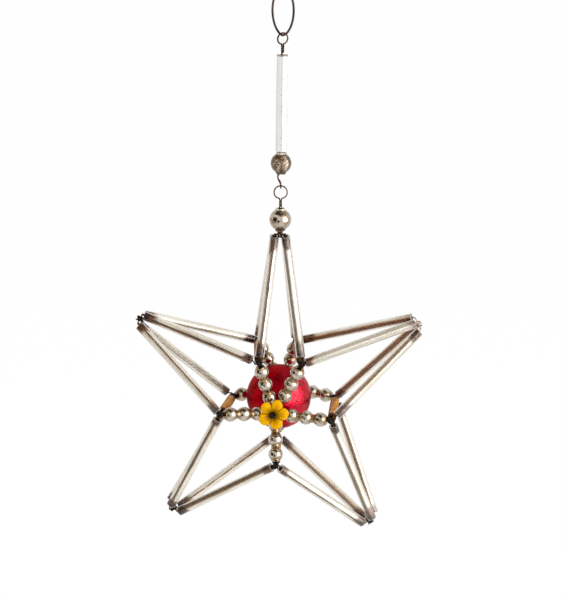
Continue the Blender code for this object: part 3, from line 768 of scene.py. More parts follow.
def amber_glaze(colours):
    """Amber glaze of the short tubes, gold and brown in lengthwise streaks, dark at the ends, and painted
    shade in dark red brown down the left side.
    """
    glaze = Finish("amber glaze")
    facing, aside, along = glaze.mark("lay")
    near_end, far_end, _ = glaze.mark("ends")
    drawn = glaze.noise(glaze.joined(facing * 1.3, aside * 1.3, along * 0.12), 1.1, 4.0, 0.55)
    fine = glaze.noise(glaze.place(), 2.6, 4.0, 0.65)
    uneven = drawn.ruffled(fine, 0.15)
    burnt = near_end.least(far_end).ruffled(fine, 1.6).step(1.4, 0.3)
    colour = glaze.coats(colours.amber, (uneven.step(0.48, 0.64), "8a5216"),
                         (uneven.step(0.46, 0.34), "c48c34"),
                         # Painted shade: the left side, away from the light on the right, is painted dark red
                         # brown.
                         (aside.ruffled(uneven, 0.8).step(-0.35, -0.90) * 0.85, "5a1e0a"),
                         (burnt * 0.85, "2c160a"))
    return glaze.set(Base_Color=colour, Roughness=fine * 0.2 + 0.36, Coat_Weight=0.02,
                     Coat_Roughness=0.08, Specular_IOR_Level=0.08, Normal=glaze.bump(drawn, 0.2, 0.0003))


def mirror_beads(colours):
    """Mirror silvered blown glass, champagne in tone, gone rusty gold at the necks, clouded in patches."""
    mirror = Finish("mirror silvered glass")
    place = mirror.place()
    waist, _, _ = mirror.mark("waist")
    cloud = mirror.noise(place, 0.45, 5.0, 0.6)
    fine = mirror.noise(place, 2.4, 4.0, 0.65)
    rusty = waist.ruffled(cloud, 0.9).step(0.34, 0.92)
    pits = mirror.cells(place, 1.1).step(0.16, 0.08) * fine.step(0.45, 0.60)
    colour = mirror.coats(colours.champagne, (cloud.step(0.42, 0.70), "9a8872"),
                          (rusty * 0.75, mirror.mix(fine, colours.rust, "a08452")),
                          (pits * 0.7, colours.tarnish))
    return mirror.set(Base_Color=colour, Metallic=1.0 - pits * 0.6,
                      Roughness=rusty * 0.16 + fine * 0.08 + 0.04, Coat_Weight=0.15, Coat_Roughness=0.03,
                      Normal=mirror.bump(cloud, 0.25, 0.0006))


def worn_mirror(colours, name, wear):
    """Mirror glass whose silvering has crazed into brown patches between dark hairlines, darker brown towards
    the bottom.
    """
    mirror = Finish(name)
    place = mirror.place()
    rim, height, _ = mirror.mark("waist")
    cloud = mirror.noise(place, 0.42, 5.0, 0.6, 0.4)
    fine = mirror.noise(place, 2.2, 5.0, 0.7)
    patch = cloud.ruffled(fine, 0.35).step(0.64 - wear * 0.25, 0.74 - wear * 0.25)
    warped = mirror.moved(place, mirror.joined(fine, cloud * 2.0, fine))
    lines = mirror.cells(warped, 0.62, "DISTANCE_TO_EDGE").step(0.06, 0.015)
    below = height.ruffled(cloud, 0.7).step(-0.62, -0.90)
    edge = rim.ruffled(fine, 0.6).step(0.70, 0.98)
    colour = mirror.coats(colours.champagne, (cloud.step(0.35, 0.65), "9a8a72"),
                          (patch, mirror.mix(fine.step(0.38, 0.62), "2e1e12", "8a6a42")),
                          (lines * (0.20 + wear * 0.55), colours.tarnish),
                          (below * 0.85, mirror.mix(fine, "4c2e16", colours.rust)), (edge * 0.7, "33241a"))
    dull = patch.most(below)
    return mirror.set(Base_Color=colour, Metallic=1.0 - dull * 0.35, Roughness=dull * 0.22 + 0.03,
                      Coat_Weight=0.25, Coat_Roughness=0.04,
                      Normal=mirror.bump(cloud + patch * 0.3, 0.10 + wear * 0.35, 0.0005))


def collar_glass(colours):
    """Broken bare glass collar, pale with rust in its cracks."""
    collar = Finish("broken glass collar")
    fine = collar.noise(collar.place(), 2.2, 4.0, 0.65)
    _, end, _ = collar.mark("waist")
    colour = collar.coats("cbc4b4", (fine.step(0.46, 0.60), "54381f"), (end.step(0.0, -0.5) * 0.85, "3a2212"))
    return collar.set(Base_Color=colour, Roughness=fine * 0.2 + 0.12, Metallic=0.2, Coat_Weight=0.4,
                      Normal=collar.bump(fine, 0.5, 0.0003))


def red_lacquer(colours):
    """Crimson lacquer over silvered glass, mottled, crackled here and there in dark hairlines and flecked,
    glossier on the right side, where its colour is painted lighter and pinker as painted light."""
    lacquer = Finish("crimson lacquer")
    place = lacquer.place()
    cloud = lacquer.noise(place, 0.16, 5.0, 0.6, 0.6)
    fine = lacquer.noise(place, 1.1, 5.0, 0.65)
    grain = lacquer.noise(place, 2.6, 3.0, 0.6)
    bent = lacquer.moved(place, lacquer.joined(cloud * 7.0 + fine * 1.5, cloud * 4.0, fine * 3.0))
    drawn = lacquer.scaled(bent, (1.0, 1.0, 0.36))
    fewer = lacquer.noise(place, 0.19, 2.0).step(0.44, 0.56)
    hairs = lacquer.cells(drawn, 0.24, "DISTANCE_TO_EDGE").step(0.032, 0.006) * fewer
    flecks = lacquer.cells(place, 0.55).step(0.11, 0.06) * fine.step(0.40, 0.52)
    aside, _, _ = lacquer.parts(place)
    # The right side is glossier, and its colour is painted lighter and pinker there: painted light from the
    # window side.
    fresh = aside.ruffled(cloud, 4.0).step(0.5, 5.5)
    colour = lacquer.coats(colours.crimson, (cloud.step(0.30, 0.72), "7e0616"),
                           (fine.step(0.52, 0.74) * 0.55, "cc122a"),
                           (grain.step(0.56, 0.74) * 0.45, "560410"), (fresh * 0.55, "e02a44"),
                           ((hairs * 0.80).most(flecks * 0.85), "240407"))
    return lacquer.set(Base_Color=colour, Metallic=0.85, Roughness=fine * 0.16 + 0.18,
                       Coat_Weight=fresh * fine.step(0.36, 0.60) * 0.45 + 0.03, Coat_Roughness=0.10,
                       Specular_IOR_Level=0.2, Specular_Tint=(0.42, 0.05, 0.08),
                       Normal=lacquer.bump(fine + cloud - hairs * 0.6, 0.45, 0.0007))


def yellow_glass(colours):
    """Pressed yellow glass, stained amber with painted shade in the grooves, with painted shade in the
    valleys between the petals and towards the eye, and near-black painted shade round the eye's hole.
    """
    glass = Finish("yellow pressed glass")
    place = glass.place()
    groove, share, lobe = glass.mark("petal")
    fine = glass.noise(place, 2.2, 4.0, 0.6)
    cloud = glass.noise(place, 0.7, 3.0)
    # Painted shade darkens the petals towards the eye; the grooves are stained amber and deepened by painted
    # shade.
    eye_shade = share.ruffled(fine, 0.30).step(0.70, 0.08)
    groove_stain_and_eye_shade = (groove * (0.8 + fine * 0.9)).most(eye_shade * 0.78).least(1.0)
    # Painted shade in the valleys between the petals.
    valley_shade = (lobe + share * 0.25).ruffled(fine, 0.12).step(0.55, 0.10)
    colour = glass.coats(colours.yellow, (cloud.step(0.40, 0.66) * 0.6, "be8600"),
                         (groove_stain_and_eye_shade * 0.9, colours.groove), (valley_shade * 0.85, "7a4c02"),
                         # Near-black painted shade round the eye's hole.
                         (share.ruffled(fine, 0.08).step(0.14, 0.04), "160b05"))
    return glass.set(Base_Color=colour, Roughness=fine * 0.15 + 0.30, Specular_IOR_Level=0.04,
                     Normal=glass.bump(fine, 0.15, 0.0003))


def satin_glass(colours):
    """White satin glass with fine lengthwise threads, every other side painted greyer as painted shade,
    specked along its edges, its upper end stained."""
    satin = Finish("white satin glass")
    place = satin.place()
    threads = satin.noise(satin.scaled(place, (4.0, 4.0, 0.05)), 1.5, 4.0, 0.6)
    cloud = satin.noise(satin.scaled(place, (0.6, 0.6, 0.12)), 1.0, 4.0, 0.6)
    fine = satin.noise(place, 2.6, 4.0, 0.7)
    edge, top, side = satin.mark("facet")
    specks = satin.cells(place, 0.85).step(0.22, 0.10) * edge.step(0.40, 0.80)
    # Every other side is painted greyer: painted shade, so that the left front side looks turned from the
    # light.
    colour = satin.coats(colours.satin, (threads, "d4d5d1"), (side * 0.25, "d2d4d0"),
                         (cloud.step(0.48, 0.72) * 0.40, "c6cac0"),
                         (edge.ruffled(cloud, 0.3).step(0.82, 1.0) * 0.60, "94968f"),
                         (specks * 0.8, "5e5a4e"), (top.ruffled(fine, 0.8).step(0.50, 0.10) * 0.85, "6e4c32"))
    return satin.set(Base_Color=colour, Roughness=threads * 0.2 + 0.25, Coat_Weight=0.2, Coat_Roughness=0.2,
                     Subsurface_Weight=0.8, Subsurface_Radius=(1.0, 1.0, 1.0), Subsurface_Scale=0.0016,
                     Normal=satin.bump(threads, 0.20, 0.0002))


def tarnished_wire(colours):
    """Iron wire, dark brown with rubbed lighter stretches and rust, rubbed bare where its points say so."""
    wire = Finish("tarnished binding wire")
    place = wire.place()
    cloud = wire.noise(place, 0.35, 4.0, 0.6)
    fine = wire.noise(place, 3.5, 4.0, 0.7)
    colour = wire.coats(colours.wire, (cloud.ruffled(fine, 0.4).step(0.46, 0.68), colours.wire_wear),
                        (fine.step(0.58, 0.75) * 0.6, "5a3218"), (wire.mark("bare")[0], colours.bare_wire))
    return wire.set(Base_Color=colour, Metallic=0.7, Roughness=fine * 0.2 + 0.42, Specular_IOR_Level=0.1,
                    Specular_Tint=(0.36, 0.24, 0.14), Normal=wire.bump(fine, 0.4, 0.0001))


def lashing_wire(colours):
    """Nearly black lashings, grimed, with a few lighter rusty flecks that are also painted glints, rubbed
    bare where their points say so.
    """
    wire = Finish("grimed lashing wire")
    fine = wire.noise(wire.place(), 3.0, 4.0, 0.7)
    # The lighter rusty flecks are rust together with painted glints.
    colour = wire.coats("150e0a", (fine.step(0.52, 0.72), "4a2c18"),
                        (wire.mark("bare")[0], colours.bare_wire))
    return wire.set(Base_Color=colour, Metallic=0.3, Roughness=fine * 0.2 + 0.42, Specular_IOR_Level=0.2,
                    Normal=wire.bump(fine, 0.4, 0.0001))


def dark_loop(colours):
    """Dark waxed wire of the hanging loop, with browner patches and pale brown painted glints."""
    wire = Finish("dark loop wire")
    place = wire.place()
    fine = wire.noise(place, 3.0, 4.0, 0.7)
    cloud = wire.noise(place, 0.5, 3.0)
    # The pale brown flecks are painted glints.
    colour = wire.coats("1e1712", (cloud.step(0.42, 0.68), "4c3a2a"), (fine.step(0.60, 0.76) * 0.5, "8a6a48"))
    return wire.set(Base_Color=colour, Metallic=0.45, Roughness=fine * 0.25 + 0.35,
                    Normal=wire.bump(fine, 0.4, 0.0001))


MADE = {}


def material(recipe, *details):
    """The material that a recipe makes, made once."""
    key = (recipe.__name__, *details)
    if key not in MADE:
        MADE[key] = recipe(bpy.context.scene.glass_star_colours, *details)
    return MADE[key]


def tube_outline(radius, bore, length, rim, steps):
    """Closed outline of an open tube: up its outside, over the rounded rim, down its bore and out again.
    Gives its radii, its heights, and one for each row of faces in the bore, else nought."""
    arc = np.linspace(0.0, math.pi / 2, 4)
    side = np.linspace(rim, length - rim, steps)
    hole = np.linspace(length, 0.0, steps)
    radii = np.concatenate([np.full(steps, radius), radius - rim + rim * np.cos(arc[1:]),
                            np.full(steps, bore), (radius - rim + rim * np.sin(arc))[:-1]])
    heights = np.concatenate([side, length - rim + rim * np.sin(arc[1:]), hole, rim - rim * np.cos(arc)[:-1]])
    lined = np.zeros(len(radii), int)
    first = steps + len(arc) - 1
    lined[first:first + steps - 1] = 1
    return radii, heights, lined


def chipped(heights, length, depth, facets, seed):
    """Heights with the cut ends made uneven: waves round the axis, fading away from each end."""
    turn = circle(facets)
    wave = np.sin(2 * turn + seed) + 0.6 * np.sin(5 * turn + 2.3 * seed) + 0.4 * np.sin(9 * turn + 4.1 * seed)
    near = np.clip(1.0 - heights / (4 * depth), 0.0, 1.0)[:, None]
    far = np.clip(1.0 - (length - heights) / (4 * depth), 0.0, 1.0)[:, None]
    drop = depth * (wave / 2 + 1.0) / 2
    return heights[:, None] + near * drop - far * np.roll(drop, 7)


def cut_tube(tube, bore, rows, ahead, seed, sizes, turned=0.0, shift=0.0):
    """Open tube with chipped ends on a node's axis: its points, its lined rows and its marks. The marks count
    the angles from straight ahead and turned on, and the heights in millimetres from the shift on."""
    radii, heights, lined = tube_outline(tube.radius, bore / 2, tube.length, sizes.rim_round, rows)
    uneven = chipped(heights, tube.length, sizes.rim_chip, sizes.tube_facets, seed)
    grid, turn = spun(radii, uneven, tube.base, tube.way, ahead, sizes.tube_facets)
    turn = turn - turned
    height = np.broadcast_to(heights[:, None], turn.shape) / MM
    lay = np.stack([np.cos(turn), np.sin(turn), height + shift], axis=-1)
    ends = np.stack([height, tube.length / MM - height, np.full(turn.shape, seed)], axis=-1)
    return grid, lined, {"lay": lay, "ends": ends}


def ball_side(radius, neck, steps):
    """Radii and heights up a ball's side from one neck to the other, by equal angles."""
    limit = math.acos(neck / radius)
    angle = np.linspace(-limit, limit, steps)
    return radius * np.cos(angle), radius * np.sin(angle)


def bared(points):
    """How bare a wire is rubbed along its points: fully at one tip, and not at all away from it."""
    off = np.linalg.norm(points - STAR.tip_frame(BARE_TIP)[0], axis=1)
    return np.clip(2.0 - off / BARE_REACH, 0.0, 1.0)[:, None, None]


def wire_piece(name, runs, thickness, facets, nodes=(), recipe=tarnished_wire, body="star",
               slot="tarnished_wire", closed=False):
    """Piece of wires, each given as its path and the direction that its profile is counted from."""
    shape = Shape()
    for points, reference in runs:
        grid = carried(points, thickness / 2, reference, facets, closed)
        shape.add(grid, closed=(closed, True), bare=bared(points))
    shape.piece(name, [material(recipe)], body, slot, nodes)


class PieceOperator:
    """What the operators share: each builds its pieces and reports that it is done."""

    def execute(self, context):
        self.build(context.scene.glass_star_sizes)
        return {"FINISHED"}


class GLASSSTAR_OT_stage(PieceOperator, bpy.types.Operator):
    """Pale floor, soft studio light, white background and the camera"""
    bl_idname = "glass_star.stage"
    bl_label = "Stage"

    def build(self, sizes):
        scene = bpy.context.scene
        scene.view_settings.view_transform = "Standard"
        scene.world = self.world()
        self.floor()
        for card in CARDS:
            self.card(*card)
        for lamp in LAMPS:
            self.lamp(*lamp)
        scene.camera = self.camera()

    def world(self):
        """White to the camera and to mirror and glass rays, a plainer grey to the rest."""
        world = bpy.data.worlds.new("studio")
        sky = Graph(world)
        seen = sky.path_is("Camera", "Glossy", "Transmission")
        level = sky.node("ShaderNodeMapRange", {"Value": seen, "To Min": WORLD_LIGHT, "To Max": 1.0})
        background = sky.tree.nodes["Background"].inputs
        sky.feed(background["Color"], "ffffff")
        sky.feed(background["Strength"], level)
        return world

    def sheet(self, paint, corners):
        """Flat piece of the stage, named after its paint."""
        name = paint.material.name
        mesh = bpy.data.meshes.new(name)
        mesh.from_pydata(corners, [], [(0, 1, 2, 3)])
        mesh.materials.append(paint.material)
        sheet = bpy.data.objects.new(name, mesh)
        bpy.context.scene.collection.objects.link(sheet)
        return sheet

    def floor(self):
        """Wide pale floor below the hanging star: white to the camera, but for the shadow on it."""
        paint = Finish("floor")
        paint.set(Base_Color=(0.9, 0.9, 0.9), Roughness=0.9, Specular_IOR_Level=0.1)
        glow = paint.node("ShaderNodeEmission", {"Color": "ffffff", "Strength": FLOOR_GLOW})
        paint.over(paint.path_is("Camera", "Glossy", "Transmission") * FLOOR_GLOW_SHARE, glow)
        height = CAD_BOX[0].z - FLOOR_DROP
        self.sheet(paint, [(x * FLOOR_REACH, y * FLOOR_REACH, height) for x, y in CORNERS])

    def card(self, name, place, width, height, colour, strength):
        """Glowing card that only mirrors and glass show, such as the window and the room."""
        paint = Finish(name)
        paint.set(Base_Color="000000", Roughness=1.0, Specular_IOR_Level=0.0,
                  Emission_Color=colour, Emission_Strength=strength)
        back = unit((np.array(CAD_BOX[0]) + np.array(CAD_BOX[1])) / 2 - place)
        right = across(np.cross(UP, back), back)
        up = np.cross(back, right)
        card = self.sheet(paint, [tuple(place + right * width * x + up * height * z) for x, z in CORNERS])
        card.visible_camera = False
        card.visible_diffuse = False
        card.visible_shadow = False

    def lamp(self, name, place, size, power):
        """Soft lamp turned to the middle of the object. Mirrors do not show it."""
        data = bpy.data.lights.new(name, "AREA")
        data.shape = "RECTANGLE"
        data.size, data.size_y = size
        data.energy = power
        lamp = bpy.data.objects.new(name, data)
        lamp.location = place
        lamp.visible_glossy = False
        middle = (CAD_BOX[0] + CAD_BOX[1]) / 2
        lamp.rotation_euler = (middle - lamp.location).to_track_quat("-Z", "Y").to_euler()
        bpy.context.scene.collection.objects.link(lamp)

    def camera(self):
        """Camera where the photograph was taken from."""
        azimuth, elevation, roll = np.radians((CAMERA_AZIMUTH, CAMERA_ELEVATION, CAMERA_ROLL))
        back = np.array((math.sin(azimuth) * math.cos(elevation), -math.cos(azimuth) * math.cos(elevation),
                         math.sin(elevation)))
        level = np.array((math.cos(azimuth), math.sin(azimuth), 0.0))
        rise = np.cross(back, level)
        right = level * math.cos(roll) + rise * math.sin(roll)
        up = rise * math.cos(roll) - level * math.sin(roll)
        data = bpy.data.cameras.new("camera")
        data.lens = CAMERA_LENS
        data.clip_start, data.clip_end = CAMERA_CLIP
        camera = bpy.data.objects.new("camera", data)
        turn = Matrix((right, up, back)).transposed().to_4x4()
        camera.matrix_world = Matrix.Translation(CAMERA_PLACE) @ turn
        bpy.context.scene.collection.objects.link(camera)
        return camera


class GLASSSTAR_OT_long_tubes(PieceOperator, bpy.types.Operator):
    """Twenty clear glass tubes with a worn silver lining"""
    bl_idname = "glass_star.long_tubes"
    bl_label = "Long tubes"

    def build(self, sizes):
        for number, (key, tube) in enumerate(STAR.tubes.items()):
            name = "_".join(key)
            angle, width, depth, copper, burn = TUBE_WEAR[name]
            seed = 0.37 + number * 0.61
            grid, lined, marks = cut_tube(tube, TUBE_BORE, TUBE_ROWS, WEAR_AHEAD, seed, sizes,
                                          math.radians(angle))
            # The burnt ends vary from tube to tube by waves of its seed: how burnt, how far in, how slanting
            near_burn = 0.78 + 0.20 * math.sin(4.9 * seed)
            slant = 1.1 * math.sin(5.3 * seed)
            near_reach, tip_reach = 3.3 + 1.2 * np.sin(np.array((2.1, 3.7)) * seed)
            shape = Shape().add(grid, slots=lined, **marks, wear=(copper, width, depth),
                                burn=(burn, near_burn, slant), reach=(near_reach, tip_reach, 0.0))
            shape.piece(f"glass_tube_{name}", [material(clear_glass), material(silvered_lining)], "star",
                        "silvered_glass", [f"tube_{name}"])


class GLASSSTAR_OT_cross_tubes(PieceOperator, bpy.types.Operator):
    """Five short amber tubes from the front joints to the back joints"""
    bl_idname = "glass_star.cross_tubes"
    bl_label = "Short tubes"

    def build(self, sizes):
        for joint, tube in enumerate(STAR.cross):
            grid, _, marks = cut_tube(tube, CROSS_TUBE_BORE, CROSS_TUBE_ROWS, UP, joint + 0.4, sizes,
                                      shift=STREAK_SHIFT * joint)
            node = f"cross_tube_{joint + 1}"
            shape = Shape().add(grid, **marks)
            shape.piece(f"amber_{node}", [material(amber_glaze)], "star", "amber_glass", [node])


class GLASSSTAR_OT_bead_sticks(PieceOperator, bpy.types.Operator):
    """Ten sticks of three mirror beads blown in one piece"""
    bl_idname = "glass_star.bead_sticks"
    bl_label = "Bead sticks"

    def build(self, sizes):
        neck = BEAD_NECK / 2
        for (face, joint), stick in STAR.sticks.items():
            radii, heights = self.outline(stick.length, stick.radius, neck)
            radii = np.concatenate([radii, np.full(BORE_ROWS, STICK_BORE / 2)])
            heights = np.concatenate([heights, np.linspace(stick.length, 0.0, BORE_ROWS)])
            grid, turn = spun(radii, heights, stick.base, stick.way, FRONT, sizes.bead_facets)
            waist = np.clip((stick.radius - radii) / (stick.radius - neck), 0.0, 1.5)[:, None]
            marks = np.stack(np.broadcast_arrays(waist, heights[:, None] / MM, 0.0 * turn), axis=-1)
            node = f"bead_stick_{face}_{joint + 1}"
            shape = Shape().add(grid, waist=marks)
            shape.piece(f"mirror_{node}", [material(mirror_beads)], "star", "mirror_glass", [node])

    def outline(self, length, radius, neck):
        """Radii and heights up a stick: the balls' own radius where they are wider than the neck and the
        neck's radius elsewhere, joined by a soft maximum that rounds the corner between them."""
        middles = length / 2 + np.array((-1, 0, 1)) * BEAD_PITCH
        rise = ball_side(radius, neck * 0.8, STICK_BEAD_ROWS)[1]
        heights = np.concatenate([[0.0], *(middle + rise for middle in middles), [length]])
        heights = np.unique(np.clip(heights, 0.0, length).round(7))
        off = np.abs(heights[:, None] - middles).min(axis=1)
        ball = np.sqrt(np.maximum(radius ** 2 - off ** 2, 0.0))
        return NECK_FILLET * np.logaddexp(ball / NECK_FILLET, neck / NECK_FILLET), heights


class GLASSSTAR_OT_ball(PieceOperator, bpy.types.Operator):
    """Thin blown ball with crackled crimson lacquer"""
    bl_idname = "glass_star.ball"
    bl_label = "Ball"

    def build(self, sizes):
        axis = Axis("ball", FRONT)
        points = node_points("ball") - axis.middle
        distance = np.linalg.norm(points, axis=1)
        hole = np.linalg.norm(points - np.outer(points @ axis.way, axis.way), axis=1).min()
        outside = ball_side(distance.max(), hole, BALL_ROWS)
        inside = ball_side(distance.min(), hole, BALL_INNER_ROWS)
        radii, heights = (np.concatenate([out, back[::-1]]) for out, back in zip(outside, inside))
        shape = Shape().add(spun(radii, heights, axis.middle, axis.way, UP, BALL_FACETS)[0])
        shape.piece("lacquered_ball", [material(red_lacquer)], "star", "red_glass", ["ball"])


class GLASSSTAR_OT_flower(PieceOperator, bpy.types.Operator):
    """Pressed glass flower of five domed petals"""
    bl_idname = "glass_star.flower"
    bl_label = "Flower"

    def build(self, sizes):
        points = node_points("flower") - STAR.flower_middle
        lift = points @ STAR.facing
        flat = points - np.outer(lift, STAR.facing)
        reach = np.linalg.norm(flat, axis=1)
        hole = reach.min()
        base = STAR.flower_middle + STAR.facing * lift.min()
        thickness = lift.max() - lift.min()
        # Straight ahead is the middle of the upper petal, by the corners near its outer end
        petals = len(PETAL_TURNS)
        ways = unit(flat[reach > reach.max() * PETAL_CROWN])
        upper = ways[(ways @ STAR.up).argmax()]
        ahead = unit(ways[ways @ upper > math.cos(math.pi / petals)].mean(axis=0))
        # Petals are counted round the flower: whole at their middles, half in the valleys between them
        columns = petals * PETAL_COLUMNS
        steps = np.arange(-1, petals + 2)
        turns, reaches, notches = (np.take(values, steps, mode="wrap")
                                   for values in (PETAL_TURNS, PETAL_REACH, PETAL_NOTCHES))
        count = np.interp(circle(columns)[None, :] * petals / math.tau, steps + turns * petals / 360, steps)
        within = (count + 0.5) % 1.0 - 0.5
        lobe = np.abs(np.cos(math.pi * count))
        notch = np.interp(count, steps + 0.5, notches)
        rim = reach.max() * np.interp(count, steps, reaches) * (1.0 - notch * (1.0 - lobe ** 0.70))
        share = np.linspace(0.0, 1.0, PETAL_ROWS)[:, None]
        dome = (0.12 + 0.88 * np.sin(math.pi * share ** 1.35 * 0.90) ** 0.8) * (0.14 + 0.86 * lobe ** 0.6)
        crease = sum(np.exp(-(off / GROOVE_WIDTH) ** 2) for off in (within, np.abs(within) - GROOVE_PLACE))
        groove = crease * np.clip(1.15 - share * 1.45, 0.0, 1.0) * np.clip(share * 8.0, 0.0, 1.0)
        height = thickness * (0.18 + 0.82 * dome) - GROOVE_DEPTH * groove
        # Two more rows make the flat back
        radii = np.concatenate([hole + (rim - hole) * share, rim, np.full((1, columns), hole)])
        heights = np.concatenate([height, np.zeros((2, columns))])
        marks = np.zeros((PETAL_ROWS + 2, columns, 3))
        marks[:PETAL_ROWS, :, 0] = groove
        marks[:PETAL_ROWS, :, 1] = share
        marks[PETAL_ROWS, :, 1] = 1.0
        marks[..., 2] = lobe
        shape = Shape().add(spun(radii, heights, base, STAR.facing, ahead, columns)[0], petal=marks)
        shape.piece("pressed_flower", [material(yellow_glass)], "star", "yellow_glass", ["flower"],
                    FLOWER_CREASE)
        self.eye_strands(base + STAR.facing * thickness * EYE_DIP, hole, sizes.wire_facets)

    def eye_strands(self, foot, hole, facets):
        """Three strands of wire bent over in the flower's eye: half ovals that stand side by side."""
        slant = math.radians(EYE_SLANT)
        along = STAR.up * math.cos(slant) + STAR.right * math.sin(slant)
        aside = np.cross(along, STAR.facing)
        angle = np.linspace(-EYE_BEND, math.pi + EYE_BEND, BOW_POINTS)[:, None]
        strands = [foot + aside * step * EYE_STEP + along * hole * reach * np.cos(angle)
                   + STAR.facing * EYE_RISE * np.sin(angle) for step, reach in EYE_REACHES.items()]
        wire_piece("flower_eye_strands", [(strand, aside) for strand in strands], EYE_WIRE, facets,
                   recipe=lashing_wire)


class GLASSSTAR_OT_strung_beads(PieceOperator, bpy.types.Operator):
    """Two worn mirror beads above the star, with broken collars round their holes"""
    bl_idname = "glass_star.strung_beads"
    bl_label = "Strung beads"

    def build(self, sizes):
        bore = STRUNG_BORE / 2
        rim = bore + BEAD_RIM
        for node, body, name, wear, seed in STRUNG_BEADS:
            low, high = box(node)
            middle = (low + high) / 2
            radius = (high - low)[0] / 2
            half = (high - low)[2] / 2
            side, rise = ball_side(radius, rim, STRUNG_BEAD_ROWS)
            radii = np.concatenate([[rim], side, [rim], np.full(BORE_ROWS, bore)])
            heights = np.concatenate([[-half], rise, [half], np.linspace(half, -half, BORE_ROWS)])
            grid, turn = spun(radii, heights, middle, UP, FRONT, sizes.bead_facets * 2)
            edge = np.clip(1.0 - (half - np.abs(heights)) / (BEAD_EDGE * radius), 0.0, 1.0)[:, None]
            marks = np.stack(np.broadcast_arrays(edge, heights[:, None] / radius, 0.0 * turn), axis=-1)
            shape = Shape().add(grid, waist=marks)
            for end in (-1, 1):
                shape.add(self.collar(middle, half, end, seed), slots=1, waist=(1.0, end, 0.0))
            shape.piece(f"worn_{node}", [material(worn_mirror, name, wear), material(collar_glass)], body,
                        "mirror_glass", [node])

    def collar(self, middle, half, end, seed):
        """Broken lip round one hole: a thin ring whose height rises and falls in waves round the bead."""
        turn = circle(COLLAR_FACETS)
        wave = (np.sin(2 * turn + seed * end) + 0.7 * np.sin(5 * turn + 3 * seed)
                + 0.5 * np.sin(11 * turn + seed))
        lip = COLLAR_LIP * np.clip(0.5 + 0.34 * wave, 0.05, 1.0)
        foot = np.full(COLLAR_FACETS, half - COLLAR_DEPTH)
        inner = np.full(COLLAR_FACETS, STRUNG_BORE / 2 + COLLAR_PLAY)
        outer = np.full(COLLAR_FACETS, COLLAR_RADIUS)
        bulge = outer + COLLAR_BULGE * np.sin(7 * turn + seed)
        crown = (inner + outer) / 2 + COLLAR_CROWN
        radii = np.stack([outer + COLLAR_DEPTH * 0.6, bulge, crown, inner, inner])
        heights = np.stack([foot, half + lip * 0.7, half + lip, half + lip * 0.6, foot]) * end
        return spun(radii, heights, middle, UP, FRONT, COLLAR_FACETS)[0]


class GLASSSTAR_OT_satin_tube(PieceOperator, bpy.types.Operator):
    """Six-sided tube of white satin glass with softened edges"""
    bl_idname = "glass_star.satin_tube"
    bl_label = "Satin tube"

    def build(self, sizes):
        low, high = box("satin_tube")
        length = high[2] - low[2]
        foot = np.array((*((low + high) / 2)[:2], low[2]))
        bore = STRUNG_BORE / 2
        radii, heights, _ = tube_outline((high - low)[0] / 2, bore, length, SATIN_RIM, SATIN_ROWS)
        radii = radii[:, None]
        # The outside is drawn to six sides: the reach each way is the power mean of the sides' reaches
        sides = np.radians([30.0, 90.0, 150.0])[:, None, None]
        cosines = np.abs(np.cos(circle(SATIN_FACETS)[None, :] - sides))
        reach = SATIN_FLAT / (cosines ** SATIN_EDGE).sum(axis=0) ** (1 / SATIN_EDGE)
        outer = np.where(radii > bore + 1e-6, radii * reach, radii)
        uneven = chipped(heights, length, SATIN_RIM, SATIN_FACETS, SATIN_SEED)
        grid, turn = spun(outer, uneven, foot, UP, FRONT, SATIN_FACETS)
        edge = np.clip(np.cos(turn * 6) * 0.5 + 0.5, 0.0, 1.0)
        top = np.broadcast_to((length - heights)[:, None] / MM, turn.shape)
        # Every other side is marked for the painted shade of the satin glass.
        side = np.floor(turn / math.tau * 6) % 2
        shape = Shape().add(grid, facet=np.stack([edge, top, side], axis=-1))
        shape.piece("white_satin_tube", [material(satin_glass)], "strung_tube", "satin_glass", ["satin_tube"])


def neck_strand(foot, along, phase):
    """One rising strand of a twisted neck: a helix round the upright line on foot that ends at the phase."""
    share = np.linspace(0.0, 1.0, NECK_POINTS)[:, None]
    angle = phase - math.tau * NECK_TURNS * (1.0 - share)
    radius = (RING_WIRE + NECK_STRAND_GAP) / 2
    aside = np.cross(UP, along)
    return foot + (along * np.cos(angle) + aside * np.sin(angle)) * radius + UP * NECK_LENGTH * share


def eye(foot, along, width, height):
    """Twisted neck and ring in one wire: up one strand, round an ellipse, down the other strand."""
    half_width = (width - RING_WIRE) / 2
    half_height = (height - RING_WIRE) / 2
    middle = foot + UP * (NECK_LENGTH + half_height + RING_WIRE / 2)
    start = math.radians(RING_MOUTH / 2 - 90.0)
    angle = np.linspace(start, math.pi - start, RING_POINTS)[:, None]
    ring = middle + along * half_width * np.cos(angle) + UP * half_height * np.sin(angle)
    rising = neck_strand(foot, along, 0.0)
    falling = neck_strand(foot, along, math.pi)[::-1]
    return path(rising, bend(rising[-1], UP, ring[0], unit(ring[1] - ring[0])), ring,
                bend(ring[-1], unit(ring[-1] - ring[-2]), falling[0], -UP), falling)


class GLASSSTAR_OT_hanging_loop(PieceOperator, bpy.types.Operator):
    """Pointed loop of dark wire at the top"""
    bl_idname = "glass_star.hanging_loop"
    bl_label = "Hanging loop"

    def build(self, sizes):
        low, high = box("hanging_loop")
        along = level_way(LOOP_TURN)
        angle = circle(LOOP_POINTS)[:, None]
        spread = np.sign(np.sin(angle)) * np.abs(np.sin(angle)) ** LOOP_POINT
        bottom = UP * (low[2] + LOOP_WIRE / 2)
        rise = high[2] - low[2] - LOOP_WIRE
        points = (bottom + along * (LOOP_WIDTH - LOOP_WIRE) / 2 * spread
                  + UP * rise * (1.0 - np.cos(angle)) / 2)
        wire_piece("drawn_hanging_loop", [(points, np.cross(along, UP))], LOOP_WIRE, sizes.wire_facets + 2,
                   ["hanging_loop"], dark_loop, "hanger", "loop_wire", closed=True)


